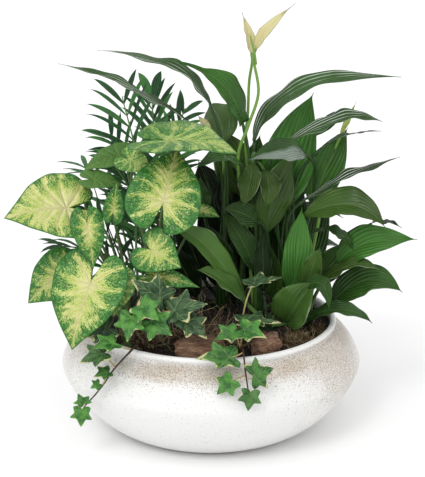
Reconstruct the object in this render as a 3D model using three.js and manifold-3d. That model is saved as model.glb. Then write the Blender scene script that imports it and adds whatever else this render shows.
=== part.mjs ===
// Dish garden: a low round ceramic bowl planted with a peace lily, an arrowhead
// plant, a parlor palm and ivy, with bark and moss on the soil.
// Millimetres, +Z up. The origin is the centre of the bowl's flat underside, and
// -Y is the side that the bowl is looked at from.

import * as THREE from 'three';
import { mergeVertices } from 'three/addons/utils/BufferGeometryUtils.js';
import Module from 'manifold-3d';

// Bowl
const BOWL_RADIUS = 140;
const BASE_RADIUS = 80;
const WIDEST_HEIGHT = 62.5;
const RIM_HEIGHT = 104;
const LIP_RADIUS = 117;
const NECK_RADIUS = 116;
const NECK_HEIGHT = 95;
const MOUTH_RADIUS = 111.5;
const WALL = 7;
const LOWER_POWER = 1.38;
const UPPER_POWER = 1.35;
const BOWL_SIDES = 40;

// Filling
const FLOOR_HEIGHT = 10;
const GRAVEL_HEIGHT = 22;
const SOIL_EDGE_HEIGHT = 94;
const SOIL_MOUND = 7;
const GAP = 0.4;
const FOOT_DEPTH = 16;

// Plants
const BLADE_THICKNESS = 0.8;
const LILY_CROWN_RADIUS = 6.5;
const LILY_STALK_RADIUS = 1.6;
const SCAPE_RADIUS = 1.5;
const ARROWHEAD_CROWN_RADIUS = 6;
const ARROWHEAD_STALK_RADIUS = 1.3;
const PALM_STALK_RADIUS = 1.5;
const LEAFLET_WIDTH = 5.5;
const IVY_STEM_RADIUS = 1.2;
const IVY_STALK_RADIUS = 0.7;

const COLOURS = {
  ceramic: [0xe9e7e2, 0.4],
  gravel: [0x8d8880, 0.9],
  soil: [0x2a1f18, 0.95],
  bark: [0x6b4a36, 0.9],
  moss: [0x5b5a24, 0.95],
  lily: [0x2c6327, 0.35],
  spathe: [0xe3dda0, 0.5],
  arrowhead: [0x7fae4e, 0.45],
  palm: [0x2f6b3c, 0.5],
  ivy: [0x3f7a3f, 0.45],
};

const wasm = await Module();
wasm.setup();

const group = new THREE.Group();
const vec = (point) => new THREE.Vector3(...point);

// Closed geometry: shared corners merged and empty triangles dropped
function closed(geometry) {
  const bare = geometry.clone();
  bare.deleteAttribute('normal');
  bare.deleteAttribute('uv');
  const merged = mergeVertices(bare, 1e-4);
  const kept = [];
  const index = merged.index.array;
  for (let i = 0; i < index.length; i += 3) {
    const [a, b, c] = [index[i], index[i + 1], index[i + 2]];
    if (a !== b && b !== c && c !== a) kept.push(a, b, c);
  }
  merged.setIndex(kept);
  return merged;
}

function solid(geometry) {
  const shape = closed(geometry);
  const vertProperties = new Float32Array(shape.attributes.position.array);
  const triVerts = new Uint32Array(shape.index.array);
  return new wasm.Manifold(new wasm.Mesh({ numProp: 3, vertProperties, triVerts }));
}

function fused(solids) {
  return wasm.Manifold.union(solids);
}

function addMesh(name, shape, [colour, roughness]) {
  const { vertProperties, triVerts } = shape.getMesh();
  const geometry = new THREE.BufferGeometry();
  geometry.setAttribute('position', new THREE.BufferAttribute(Float32Array.from(vertProperties), 3));
  geometry.setIndex(Array.from(triVerts));
  geometry.computeVertexNormals();
  const material = new THREE.MeshStandardMaterial({ color: colour, roughness, metalness: 0 });
  const mesh = new THREE.Mesh(geometry, material);
  mesh.name = name;
  group.add(mesh);
}

// Turned solid: [radius, height] pairs from the axis round to the axis
function turned(profile, sides) {
  const points = profile.map(([radius, height]) => new THREE.Vector2(radius, height));
  return new THREE.LatheGeometry(points, sides).rotateX(Math.PI / 2);
}

// Upright round peg
function peg(x, y, bottom, top, radius, sides) {
  const geometry = new THREE.CylinderGeometry(radius, radius, top - bottom, sides);
  return geometry.rotateX(Math.PI / 2).translate(x, y, (top + bottom) / 2);
}

// Stalk of one even thickness along a curve
function stalk(curve, radius, steps, sides = 4) {
  const corners = [];
  for (let i = 0; i < sides; i += 1) {
    const angle = (2 * Math.PI * i) / sides;
    corners.push(new THREE.Vector2(radius * Math.cos(angle), radius * Math.sin(angle)));
  }
  return new THREE.ExtrudeGeometry(new THREE.Shape(corners), { steps, extrudePath: curve });
}

// Soft lumps over a round form, the same on every run
function lumps(x, y, z) {
  return Math.sin(x * 2.1 + y * 1.3 + z * 0.7) + Math.sin(y * 3.7 - x * 1.9 + z * 2.3)
    + 0.6 * Math.sin(z * 4.1 + x * 3.3 - y * 2.7);
}

// Bowl: the belly is two quarter curves, then a shallow neck and a thin rolled lip
function bellyProfile(lowerSteps, upperSteps, inset) {
  const points = [];
  for (let i = 1; i <= lowerSteps; i += 1) {
    const angle = (Math.PI / 2) * (i / lowerSteps);
    const radius = BASE_RADIUS + (BOWL_RADIUS - BASE_RADIUS) * Math.sin(angle) ** LOWER_POWER;
    points.push([radius - inset, WIDEST_HEIGHT * (1 - Math.cos(angle) ** LOWER_POWER)]);
  }
  for (let i = 1; i <= upperSteps; i += 1) {
    const angle = (Math.PI / 2) * (i / upperSteps);
    const radius = NECK_RADIUS + (BOWL_RADIUS - NECK_RADIUS) * Math.cos(angle) ** UPPER_POWER;
    const height = WIDEST_HEIGHT + (NECK_HEIGHT - WIDEST_HEIGHT) * Math.sin(angle) ** UPPER_POWER;
    points.push([radius - inset, height]);
  }
  return points;
}

function mouthProfile(inset) {
  return [
    [MOUTH_RADIUS - inset, RIM_HEIGHT - 3],
    [MOUTH_RADIUS - inset, NECK_HEIGHT - 2],
  ];
}

// Hollow of the bowl, from the mouth down to the floor; inset keeps a filling clear
function hollowProfile(inset, topHeight) {
  const outer = bellyProfile(3, 2, WALL + inset).filter(([, height]) => height < NECK_HEIGHT - 6);
  const wall = outer.filter(([, height]) => height > FLOOR_HEIGHT + 8);
  return [...mouthProfile(inset).filter(([, height]) => height < topHeight), ...wall.reverse(),
    [BASE_RADIUS + 10 - inset, FLOOR_HEIGHT + inset], [0, FLOOR_HEIGHT + inset]];
}

const lip = [
  [LIP_RADIUS, RIM_HEIGHT - 3.5],
  [LIP_RADIUS - 1.8, RIM_HEIGHT - 0.3],
  [MOUTH_RADIUS + 1.6, RIM_HEIGHT],
];
const bowlProfile = [[0, 0], [BASE_RADIUS, 0], ...bellyProfile(5, 4, 0), ...lip,
  ...hollowProfile(0, RIM_HEIGHT)];
addMesh('bowl', solid(turned(bowlProfile, BOWL_SIDES)), COLOURS.ceramic);

// Gravel: drainage layer at the bottom of the bowl, under the soil
const GRAVEL_RADIUS = BASE_RADIUS + 8;
const gravelProfile = [[0, FLOOR_HEIGHT + GAP], [GRAVEL_RADIUS - 1, FLOOR_HEIGHT + GAP],
  [GRAVEL_RADIUS + 8, GRAVEL_HEIGHT], [0, GRAVEL_HEIGHT]];
addMesh('gravel', solid(turned(gravelProfile, 24)), COLOURS.gravel);

// Soil: fills the bowl to a low mound, with a plain hole for each stem and a pocket
// for each lump of bark and moss
function soilHeight(x, y) {
  const away = Math.min(1, Math.hypot(x, y) / MOUTH_RADIUS);
  const rough = 0.7 * lumps(x / 17, y / 17, 0.4) * (1 - away ** 4);
  return SOIL_EDGE_HEIGHT + SOIL_MOUND * (1 - away * away) + rough;
}

function soilBody() {
  const wall = hollowProfile(GAP, SOIL_EDGE_HEIGHT - 0.5).slice(0, -2).reverse();
  const bottom = GRAVEL_HEIGHT + GAP;
  const above = wall.filter(([, height]) => height > bottom + 3);
  const rings = [MOUTH_RADIUS - GAP, 72, 0];
  const profile = [[0, bottom], [GRAVEL_RADIUS + 7, bottom], ...above,
    ...rings.map((radius) => [radius, SOIL_EDGE_HEIGHT])];
  const geometry = turned(profile, 20);
  const position = geometry.attributes.position;
  for (let i = 0; i < position.count; i += 1) {
    if (position.getZ(i) < SOIL_EDGE_HEIGHT - 0.01) continue;
    position.setZ(i, soilHeight(position.getX(i), position.getY(i)));
  }
  return solid(geometry);
}

const soilCuts = [];

// Hole in the soil for a foot of a given radius
function cutHole(x, y, radius, sides) {
  const bottom = soilHeight(x, y) - FOOT_DEPTH;
  soilCuts.push(solid(peg(x, y, bottom - GAP, bottom + 2 * FOOT_DEPTH, radius, sides)));
  return bottom;
}

// Short stem in the soil that carries a whole crown of leaves
function crownBase(x, y, radius) {
  const sides = 6;
  const bottom = cutHole(x, y, radius + GAP / Math.cos(Math.PI / sides), sides);
  const top = bottom + FOOT_DEPTH + 4;
  return { base: peg(x, y, bottom, top, radius, sides), top };
}

// Lump of bark or moss: a rounded block with an uneven skin, set in a pocket
function lump(centre, size, roughness, turn, grow) {
  const geometry = new THREE.IcosahedronGeometry(1, 1);
  const position = geometry.attributes.position;
  for (let i = 0; i < position.count; i += 1) {
    const [x, y, z] = [position.getX(i), position.getY(i), position.getZ(i)];
    const swell = 1 + roughness * lumps(x * 1.7 + centre[0], y * 1.7 + centre[1], z * 1.7);
    const squared = 1 / Math.max(Math.abs(x), Math.abs(y), Math.abs(z)) ** 0.45;
    const reach = swell * squared;
    position.setXYZ(i, x * (size[0] * reach + grow), y * (size[1] * reach + grow),
      z * (size[2] * reach + grow));
  }
  return geometry.rotateZ(turn).translate(...centre);
}

// Bark: two broken chunks at the front, with the soil drawn up round them
const BARK = [
  { name: 'bark_left', centre: [-10, -86, 103], size: [21, 8, 11], turn: 0.06 },
  { name: 'bark_right', centre: [49, -80, 103], size: [13, 8, 12], turn: 0.4 },
];
for (const { name, centre, size, turn } of BARK) {
  addMesh(name, solid(lump(centre, size, 0.07, turn, 0)), COLOURS.bark);
  soilCuts.push(solid(lump(centre, size, 0.07, turn, GAP + 0.2)));
}

// Moss: cushions on the soil at the front right and between the stems
const MOSS = [
  { name: 'moss_front', centre: [79, -58, 98], size: [14, 11, 6], turn: 0.9 },
  { name: 'moss_right', centre: [98, -26, 97], size: [6, 11, 5], turn: 0.2 },
  { name: 'moss_middle', centre: [18, -50, 100], size: [14, 9, 6], turn: 0.3 },
];
for (const { name, centre, size, turn } of MOSS) {
  addMesh(name, solid(lump(centre, size, 0.1, turn, 0)), COLOURS.moss);
  soilCuts.push(solid(lump(centre, size, 0.1, turn, GAP + 0.2)));
}

// Closed skin made of rows of corners. A row goes round its section from the upper
// left over the upper right to the lower left; the next row lies further along.
function newSkin() {
  const position = [];
  const index = [];
  const put = (point) => {
    position.push(point.x, point.y, point.z);
    return position.length / 3 - 1;
  };
  const tri = (a, b, c) => index.push(a, b, c);
  // Both faces of a blade are split the same way, so that it keeps one thickness
  const quad = (a, b, c, d, under) => {
    if (under) index.push(a, b, d, b, c, d);
    else index.push(a, b, c, a, c, d);
  };
  const joinRows = (one, two, open = []) => {
    const count = one.length;
    for (let j = 0; j < count; j += 1) {
      const k = (j + 1) % count;
      if (!open.includes(j)) quad(one[j], one[k], two[k], two[j], j >= count / 2);
    }
  };
  const capRow = (row, atEnd) => {
    const count = row.length;
    for (let j = 0; j < count / 2 - 1; j += 1) {
      const corners = [row[j], row[j + 1], row[count - 2 - j], row[count - 1 - j]];
      if (!atEnd) corners.reverse();
      quad(...corners);
    }
  };
  const geometry = () => {
    const made = new THREE.BufferGeometry();
    made.setAttribute('position', new THREE.Float32BufferAttribute(position, 3));
    made.setIndex(index);
    return made;
  };
  return { put, tri, quad, joinRows, capRow, geometry };
}

// Corners of a section: columns across, on the upper side and then back underneath
function sectionCorners(centre, across, normal, columns, halfWidth, halfDepth, lift) {
  const corners = [];
  for (const side of [1, -1]) {
    for (let j = 0; j < columns; j += 1) {
      const share = side * ((2 * j) / (columns - 1) - 1);
      const out = Math.abs(share);
      const corner = centre.clone().addScaledVector(across, share * halfWidth);
      corners.push(corner.addScaledVector(normal, lift(out) + side * halfDepth(out)));
    }
  }
  return corners;
}

// Midrib from the heel through a middle point to the tip
function midrib(heel, middle, tip) {
  const control = vec(middle).multiplyScalar(2);
  control.addScaledVector(vec(heel), -0.5).addScaledVector(vec(tip), -0.5);
  return new THREE.QuadraticBezierCurve3(vec(heel), control, vec(tip));
}

// Outward side and facing direction of a blade at a point of its midrib
function bladeFrame(curve, along, face, twist) {
  const tangent = curve.getTangent(along);
  const normal = vec(face).addScaledVector(tangent, -tangent.dot(vec(face))).normalize();
  normal.applyAxisAngle(tangent, twist * along);
  return { tangent, normal, across: new THREE.Vector3().crossVectors(tangent, normal) };
}

// Stalk from a crown, rising straight and then bending into the blade
function risingCurve(start, end, arrival) {
  const rise = Math.max(4, end.z - start.z);
  const reach = 0.35 * start.distanceTo(end);
  const first = start.clone().add(new THREE.Vector3(0, 0, 0.5 * rise));
  const last = end.clone().addScaledVector(arrival, -reach);
  return new THREE.CubicBezierCurve3(start, first, last, end);
}

// Rows of a stalk from its root to its end, turned so that they meet the blade's frame
function stalkRows(path, steps, radius, columns, endNormal, startRadius = radius) {
  const rows = [];
  let normal = endNormal.clone();
  for (let i = steps - 1; i >= 0; i -= 1) {
    const along = i / steps;
    const tangent = path.getTangent(along);
    normal = normal.clone().addScaledVector(tangent, -tangent.dot(normal)).normalize();
    const across = new THREE.Vector3().crossVectors(tangent, normal);
    const size = startRadius + (radius - startRadius) * along;
    const depth = (share) => size * (columns === 2 ? 0.75 : 1 - 0.5 * share);
    rows.unshift(sectionCorners(path.getPoint(along), across, normal, columns, size * 0.87, depth, () => 0));
  }
  return rows;
}

// Peace lily blade: lance shaped, folded along the midrib, edges gently waved
const LANCE = [[0, 0.08], [0.16, 0.62], [0.44, 1], [0.76, 0.58], [1, 0.04]];
const LILY_FOLD = 0.28;
const LILY_WAVE = 1.3;
const SPATHE_FOLD = 0.5;
const SPATHE_SEAT = 0.35;
const SCAPE_BEND = 6;
const LONG_STALK = 90;

function lanceRows(curve, width, face, twist, fold) {
  return LANCE.map(([along, share]) => {
    const { normal, across } = bladeFrame(curve, along, face, twist);
    const half = 0.5 * width * share;
    const wave = LILY_WAVE * Math.sin(11 * along + width) * share;
    const lift = (side) => side * (fold * half + wave);
    const depth = () => BLADE_THICKNESS / 2;
    return sectionCorners(curve.getPoint(along), across, normal, 3, half, depth, lift);
  });
}

function sweep(rows) {
  const skin = newSkin();
  const indexed = rows.map((row) => row.map(skin.put));
  for (let i = 0; i < indexed.length - 1; i += 1) skin.joinRows(indexed[i], indexed[i + 1]);
  skin.capRow(indexed[0], false);
  skin.capRow(indexed[indexed.length - 1], true);
  return skin.geometry();
}

// Starts of the stalks of a crown, spread evenly round it in the order of their headings
function crownStarts(foot, top, ends, spread) {
  const headings = ends.map(([x, y]) => Math.atan2(y - foot[1], x - foot[0]));
  const order = headings.map((_, i) => i).sort((a, b) => headings[a] - headings[b]);
  const step = (2 * Math.PI) / ends.length;
  const lean = new THREE.Vector2();
  order.forEach((i, rank) => lean.add(new THREE.Vector2(Math.cos(headings[i] - step * rank),
    Math.sin(headings[i] - step * rank))));
  const starts = [];
  order.forEach((i, rank) => {
    const turn = lean.angle() + step * rank;
    const [x, y] = [foot[0] + spread * Math.cos(turn), foot[1] + spread * Math.sin(turn)];
    starts[i] = new THREE.Vector3(x, y, top - 2);
  });
  return starts;
}

// Peace lily blooms: a cream spathe, rolled at its base, stands on each flower stalk.
// Each leaf: heel, middle and tip of the midrib, width, the way it faces, twist
const SPATHES = [
  { name: 'spathe_tall', leaf: [[40, -1, 356], [52, -2, 376], [75, -2, 398], 13, [-0.5, -0.8, 0.2], 0] },
  { name: 'spathe_short', leaf: [[36.5, 13, 350], [33, 11, 369], [28, 9, 388], 11, [0.6, -0.8, 0], 0] },
  { name: 'spathe_right', leaf: [[120, 34, 267], [128, 32, 286], [134, 30, 302], 8, [-0.6, -0.8, 0], 0] },
  { name: 'spathe_left', leaf: [[0, 24, 274.5], [-7, 24, 283], [-12, 22, 291], 8, [0.5, -0.8, 0], 0] },
];

// End of a flower stalk, bent into line with the spathe that it carries
function scapeEnd(spathe) {
  const [heel, middle, tip] = SPATHES.find(({ name }) => name === spathe).leaf;
  const ahead = midrib(heel, middle, tip).getTangent(0);
  return [SCAPE_BEND, SPATHE_SEAT].map((back) => vec(heel).addScaledVector(ahead, -back));
}

// Peace lily crown: leaves and flower stalks from one short stem in the soil
function lilyCrown({ name, foot, leaves, scapes = [] }) {
  const { base, top } = crownBase(foot[0], foot[1], LILY_CROWN_RADIUS);
  const solids = [solid(base)];
  const heads = [...leaves.map((leaf) => leaf[0]), ...scapes.map(({ points }) => points[0])];
  const starts = crownStarts(foot, top, heads, 4.6);
  leaves.forEach(([heel, middle, tip, width, face, twist], order) => {
    const curve = midrib(heel, middle, tip);
    const path = risingCurve(starts[order], vec(heel), curve.getTangent(0));
    const steps = path.getLength() > LONG_STALK ? 3 : 2;
    const { normal } = bladeFrame(curve, 0, face, twist);
    const rows = [...stalkRows(path, steps, LILY_STALK_RADIUS, 3, normal),
      ...lanceRows(curve, width, face, twist, LILY_FOLD)];
    solids.push(solid(sweep(rows)));
  });
  scapes.forEach(({ spathe, points }, order) => {
    const start = starts[leaves.length + order];
    const path = new THREE.CatmullRomCurve3([start, ...points.map(vec), ...scapeEnd(spathe)]);
    solids.push(solid(stalk(path, SCAPE_RADIUS, 8)));
  });
  addMesh(name, fused(solids), COLOURS.lily);
}

// Each leaf: heel, middle and tip of the midrib, width, the way it faces, twist
const LILY_CROWNS = [
  {
    name: 'lily_left',
    foot: [10, 24],
    leaves: [
      [[-1, 5, 305], [-35, 0, 339], [-102, -8, 357], 26, [0.2, -0.35, 0.9], 0.3],
      [[-23, 14, 288], [-80, 6, 323], [-137, -4, 344], 17, [0.1, -0.25, 1], 0],
      [[12, 34, 262], [8, 50, 280], [-2, 76, 290], 34, [-0.2, -0.9, 0.5], 0],
      [[-6, 12, 201], [-8, 6, 219], [-10, 2, 238], 18, [-0.3, -1, 0.1], 0],
      [[21, 2, 154], [8, -2, 175], [-3, -4, 194], 16, [-0.4, -1, 0.2], 0],
      [[-6, 26, 130], [-20, 24, 165], [-36, 24, 198], 26, [0.2, -1, 0.2], 0],
      [[-14, 12, 118], [-26, 8, 148], [-40, 4, 176], 26, [0.1, -1, 0.2], 0],
    ],
    scapes: [{ spathe: 'spathe_left', points: [[12, 26, 200], [10, 25, 258]] }],
  },
  {
    name: 'lily_middle',
    foot: [45, 12],
    leaves: [
      [[40, 18, 267], [81, 8, 318], [171, -5, 332], 26, [-0.25, -0.4, 0.85], 0],
      [[29, 15, 285], [7, 5, 326], [-36, -8, 348], 28, [0.5, -0.6, 0.6], -0.4],
      [[29, 2, 246], [10, -10, 257], [-14, -24, 253], 26, [0, -0.2, 1], 0],
      [[52, 14, 181], [60, 13, 223], [77, 17, 258], 34, [0.3, -1, 0.1], 0],
      [[38, 4, 250], [35, -10, 233], [29, -18, 215], 21, [-0.3, -1, 0.2], 0],
      [[49, 8, 242], [53, -4, 229], [50, -11, 212], 21, [0.3, -1, 0.2], 0],
      [[43, 2, 195], [28, -10, 206], [11, -22, 215], 24, [0, -0.8, 0.6], 0],
      [[42, 6, 144], [27, 2, 179], [9, -2, 206], 23, [0.5, -0.8, 0.3], 0],
      [[59, 8, 116], [58, 6, 142], [55, 8, 172], 18, [0, -1, 0], 0],
    ],
    scapes: [
      { spathe: 'spathe_tall', points: [[34, 12, 180], [25, 12, 255], [34, 8, 284], [43, 4, 316]] },
      { spathe: 'spathe_short', points: [[42, 28, 180], [32, 28, 262], [34, 28, 291], [35, 24, 322]] },
    ],
  },
  {
    name: 'lily_right',
    foot: [80, 24],
    leaves: [
      [[63, 30, 196], [75, 28, 256], [95, 40, 308], 48, [-0.1, -1, 0.15], 0],
      [[95, 30, 203], [109, 30, 241], [128, 44, 274], 34, [-0.15, -1, 0.2], 0],
      [[70, 10, 267], [117, 4, 291], [155, -5, 291], 20, [0, -0.4, 1], 0],
      [[86, 2, 259], [63, -22, 268], [33, -44, 265], 25, [0.1, -0.75, 0.7], 0],
      [[102, 17, 261], [126, 18, 273], [157, 21, 276], 10, [0, 0.2, 1], 0],
      [[86, 12, 212], [127, 4, 237], [172, -8, 259], 15, [0, -0.3, 1], 0],
      [[98, 46, 266], [112, 52, 279], [122, 58, 286], 12, [-0.2, -1, 0.3], 0],
    ],
    scapes: [{ spathe: 'spathe_right', points: [[100, 30, 180], [110, 36, 240]] }],
  },
  {
    name: 'lily_front',
    foot: [52, -22],
    leaves: [
      [[31, -8, 122], [-5, -30, 181], [-34, -34, 197], 27, [0.5, -0.7, 0.6], 0],
      [[34, -18, 119], [10, -36, 150], [-13, -48, 164], 24, [0.3, -0.5, 0.9], 0],
      [[70, -27, 106], [80, -37, 129], [95, -35, 149], 40, [-0.3, -1, 0.2], 0],
      [[84, -34, 143], [101, -43, 148], [107, -53, 126], 15, [0.1, -0.8, 0.5], 0],
      [[76, -8, 128], [79, -17, 172], [83, -14, 213], 29, [0.2, -1, 0], 0],
      [[49, -7, 130], [48, -7, 162], [48, -5, 190], 18, [0.1, -1, 0], 0],
    ],
  },
  {
    name: 'lily_low_right',
    foot: [88, -6],
    leaves: [
      [[86, -4, 202], [127, -16, 216], [158, -32, 199], 34, [0, -0.6, 0.8], 0],
      [[118, -4, 157], [144, -14, 179], [188, -26, 186], 34, [-0.3, -0.75, 0.7], 0],
      [[93, -14, 135], [127, -24, 160], [153, -36, 160], 20, [0, -0.35, 1], 0],
      [[111, -4, 116], [145, -14, 143], [176, -26, 135], 32, [0, -0.7, 0.7], 0],
      [[83, -25, 107], [119, -35, 121], [147, -48, 113], 22, [0, -0.3, 1], 0],
      [[87, -20, 134], [93, -27, 160], [100, -24, 178], 19, [-0.2, -1, 0.1], 0],
      [[97, 4, 133], [115, 0, 157], [134, -6, 178], 26, [0, -0.8, 0.5], 0],
      [[104, 0, 188], [120, -7, 185], [131, -12, 171], 12, [0, -0.4, 0.9], 0],
      [[150, 18, 188], [162, 14, 191], [178, 10, 186], 12, [0, 0, 1], 0],
    ],
  },
];
LILY_CROWNS.forEach(lilyCrown);

// Peace lily crowns at the back: upright leaves close the gaps between the front crowns,
// and the others fan away by a rule
function backLeaf(foot, heading, height, reach, width) {
  const [east, north] = [Math.cos(heading), Math.sin(heading)];
  const at = (out, up) => [foot[0] + out * east, foot[1] + out * north, up];
  const face = [0.35 * east, 0.35 * north, 0.9];
  return [at(0.3 * reach, height - 0.3 * reach), at(0.7 * reach, height), at(1.3 * reach, height - 6), width,
    face, 0];
}

const BACK_CROWNS = [
  {
    name: 'lily_back_left',
    foot: [22, 62],
    first: 0.8,
    heights: [206, 160, 222],
    upright: [
      [[8, 54, 112], [1, 50, 168], [-5, 52, 236], 30, [0, -1, 0.1], 0],
      [[20, 50, 110], [15, 46, 180], [14, 46, 262], 34, [0, -1, 0], 0],
      [[30, 52, 110], [34, 46, 175], [38, 46, 256], 30, [0, -1, 0], 0],
    ],
  },
  {
    name: 'lily_back_right',
    foot: [68, 56],
    first: -0.1,
    heights: [190, 150, 206],
    upright: [
      [[60, 56, 112], [60, 55, 175], [64, 55, 248], 30, [0, -1, 0], 0],
      [[74, 50, 110], [79, 49, 165], [84, 54, 232], 32, [0, -1, 0], 0],
      [[84, 54, 112], [98, 54, 165], [110, 58, 218], 30, [0, -1, 0], 0],
    ],
  },
];
for (const { name, foot, first, heights, upright } of BACK_CROWNS) {
  const fan = heights.map((height, order) => {
    const reach = 46 + 9 * Math.sin(order * 2.3 + first);
    return backLeaf(foot, first + 0.42 * order, height, reach, 32 + 4 * Math.cos(order * 1.7));
  });
  lilyCrown({ name, foot, leaves: [...fan, ...upright] });
}

for (const { name, leaf } of SPATHES) {
  const [heel, middle, tip, width, face, twist] = leaf;
  const rows = lanceRows(midrib(heel, middle, tip), width, face, twist, SPATHE_FOLD);
  addMesh(name, solid(sweep(rows)), COLOURS.spathe);
}

// Broad leaf round its stalk joint: a fan of rings, top and underside alike, whose
// notch runs on into the stalk as one skin
function stalkedBlade(surface, outline, rings, rows) {
  const skin = newSkin();
  const sides = [1, -1].map((side) => {
    const put = (a, b) => {
      const { point, normal } = surface(a, b);
      return skin.put(point.addScaledVector(normal, side * BLADE_THICKNESS * 0.5));
    };
    const ringCorners = (ring) => outline.map(([a, b]) => put(a * ring, b * ring));
    return { centre: put(0, 0), rings: rings.map(ringCorners) };
  });
  const count = outline.length;
  const notch = (count - 3) / 2;
  sides.forEach(({ centre, rings: made }, under) => {
    const face = (a, b, c) => (under ? skin.tri(a, c, b) : skin.tri(a, b, c));
    for (let k = 0; k < count; k += 1) {
      const next = (k + 1) % count;
      face(centre, made[0][k], made[0][next]);
      for (let ring = 0; ring < made.length - 1; ring += 1) {
        face(made[ring][k], made[ring + 1][k], made[ring + 1][next]);
        face(made[ring][k], made[ring + 1][next], made[ring][next]);
      }
    }
  });
  const [upper, lower] = sides.map(({ rings: made }) => made[made.length - 1]);
  for (let k = 0; k < count; k += 1) {
    const next = (k + 1) % count;
    if (k !== notch) skin.quad(upper[k], lower[k], lower[next], upper[next]);
  }
  const indexed = rows.map((row) => row.map(skin.put));
  indexed.push([upper[notch], upper[notch + 1], lower[notch + 1], lower[notch]]);
  for (let i = 0; i < indexed.length - 1; i += 1) skin.joinRows(indexed[i], indexed[i + 1]);
  skin.capRow(indexed[0], false);
  return skin.geometry();
}

// Whole outline from the half on one side, which goes from the tip to the notch. It
// starts beside the tip, so that the notch lies halfway.
function bothSides(half) {
  const mirrored = half.slice(1).reverse().map(([a, b]) => [a, -b]);
  return [...half.slice(1), ...mirrored, half[0]];
}

function broadSurface(joint, tip, face, breadth, fold, arch) {
  const start = vec(joint);
  const ahead = vec(tip).sub(start);
  const length = ahead.length();
  ahead.normalize();
  const normal = vec(face).addScaledVector(ahead, -ahead.dot(vec(face))).normalize();
  const across = new THREE.Vector3().crossVectors(ahead, normal);
  const surface = (a, b) => {
    const bow = a > 0 ? arch * a * (1 - a) : 0.5 * arch * a;
    const point = start.clone().addScaledVector(ahead, length * a);
    point.addScaledVector(across, -length * breadth * b);
    point.addScaledVector(normal, length * (fold * Math.abs(b) * breadth + bow));
    return { point, normal };
  };
  return { surface, normal, ahead, length };
}

// Arrowhead plant: a heart-backed blade that ends in a point
const ARROW_HALF = [[1, 0], [0.78, 0.2], [0.5, 0.45], [0.2, 0.6], [-0.1, 0.64], [-0.38, 0.5], [-0.5, 0.24],
  [-0.3, 0.08], [-0.09, 0.022]];
const ARROW_FOLD = 0.16;
const ARROW_ARCH = 0.3;
const LARGE_BLADE = 50;

function arrowheadLeaf(start, [joint, tip, face, breadth, under = 0.75]) {
  const blade = broadSurface(joint, tip, face, breadth, ARROW_FOLD, ARROW_ARCH);
  const arrival = blade.normal.clone().multiplyScalar(under);
  arrival.addScaledVector(blade.ahead, 1 - under).normalize();
  const path = risingCurve(start, blade.surface(-0.1, 0).point, arrival);
  const rows = stalkRows(path, 4, ARROWHEAD_STALK_RADIUS, 2, blade.normal);
  const rings = blade.length > LARGE_BLADE ? [0.5, 1] : [1];
  return solid(stalkedBlade(blade.surface, bothSides(ARROW_HALF), rings, rows));
}

// Each leaf: stalk joint, tip, the way it faces, breadth
const ARROWHEAD_STEMS = [
  {
    name: 'arrowhead_left',
    foot: [-78, -30],
    leaves: [
      [[-130, -35, 218], [-184, -55, 215], [-0.1, -0.7, 0.75], 1],
      [[-110, -55, 207], [-104, -75, 174], [0.2, -0.9, 0.4], 0.6],
      [[-87, -48, 220], [-84, -42, 244], [0, -1, 0.2], 0.6],
      [[-106, -18, 240], [-80, -16, 234], [-0.1, -0.5, 0.9], 0.7],
    ],
  },
  {
    name: 'arrowhead_front',
    foot: [-76, -60],
    leaves: [
      [[-107, -76, 160], [-124, -93, 104], [-0.3, -0.9, 0.3], 1],
      [[-135, -42, 159], [-166, -50, 133], [-0.3, -0.9, 0.4], 0.9],
      [[-85, -73, 160], [-86, -84, 132], [-0.1, -0.9, 0.3], 1],
    ],
  },
  {
    name: 'arrowhead_middle',
    foot: [-48, -50],
    leaves: [
      [[-42, -60, 231], [-30, -24, 271], [0, -0.9, 0.45], 1],
      [[-52, -72, 190], [-26, -88, 179], [0.1, -0.95, 0.35], 1],
      [[-49, -70, 165], [-10, -79, 158], [0, -0.7, 0.7], 0.4],
    ],
  },
  {
    name: 'arrowhead_upper',
    foot: [-50, -14],
    leaves: [
      [[-38, -38, 281], [24, -50, 273], [0, -0.12, 1], 1, 0.3],
      [[-73, -30, 262], [-52, -42, 254], [0, -0.8, 0.6], 0.8],
      [[-84, 2, 258], [-116, -10, 247], [-0.1, -0.6, 0.8], 0.6],
      [[-10, -12, 209], [8, -22, 206], [0, -0.5, 0.9], 0.7],
    ],
  },
];
for (const { name, foot, leaves } of ARROWHEAD_STEMS) {
  const { base, top } = crownBase(foot[0], foot[1], ARROWHEAD_CROWN_RADIUS);
  const solids = [solid(base)];
  const starts = crownStarts(foot, top, leaves.map((leaf) => leaf[0]), 3.6);
  leaves.forEach((leaf, order) => solids.push(arrowheadLeaf(starts[order], leaf)));
  addMesh(name, fused(solids), COLOURS.arrowhead);
}

// Parlor palm: a stalk that becomes the rib of a frond, with a pair of leaflets at
// each step and two broad ones at the end
const LEAFLET = [[0.42, 1], [1, 0.1]];
const RIB_STEP = 0.022;

function leafletRows(root, heading, length, width, face, droop) {
  const tip = root.clone().addScaledVector(heading, length).add(new THREE.Vector3(0, 0, -droop * length));
  const middle = root.clone().addScaledVector(heading, length * 0.52);
  const curve = midrib(root.toArray(), middle.toArray(), tip.toArray());
  return LEAFLET.map(([along, share]) => {
    const { normal, across } = bladeFrame(curve, along, face.toArray(), 0);
    const depth = () => BLADE_THICKNESS / 2;
    return sectionCorners(curve.getPoint(along), across, normal, 2, 0.5 * width * share, depth, () => 0);
  });
}

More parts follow.
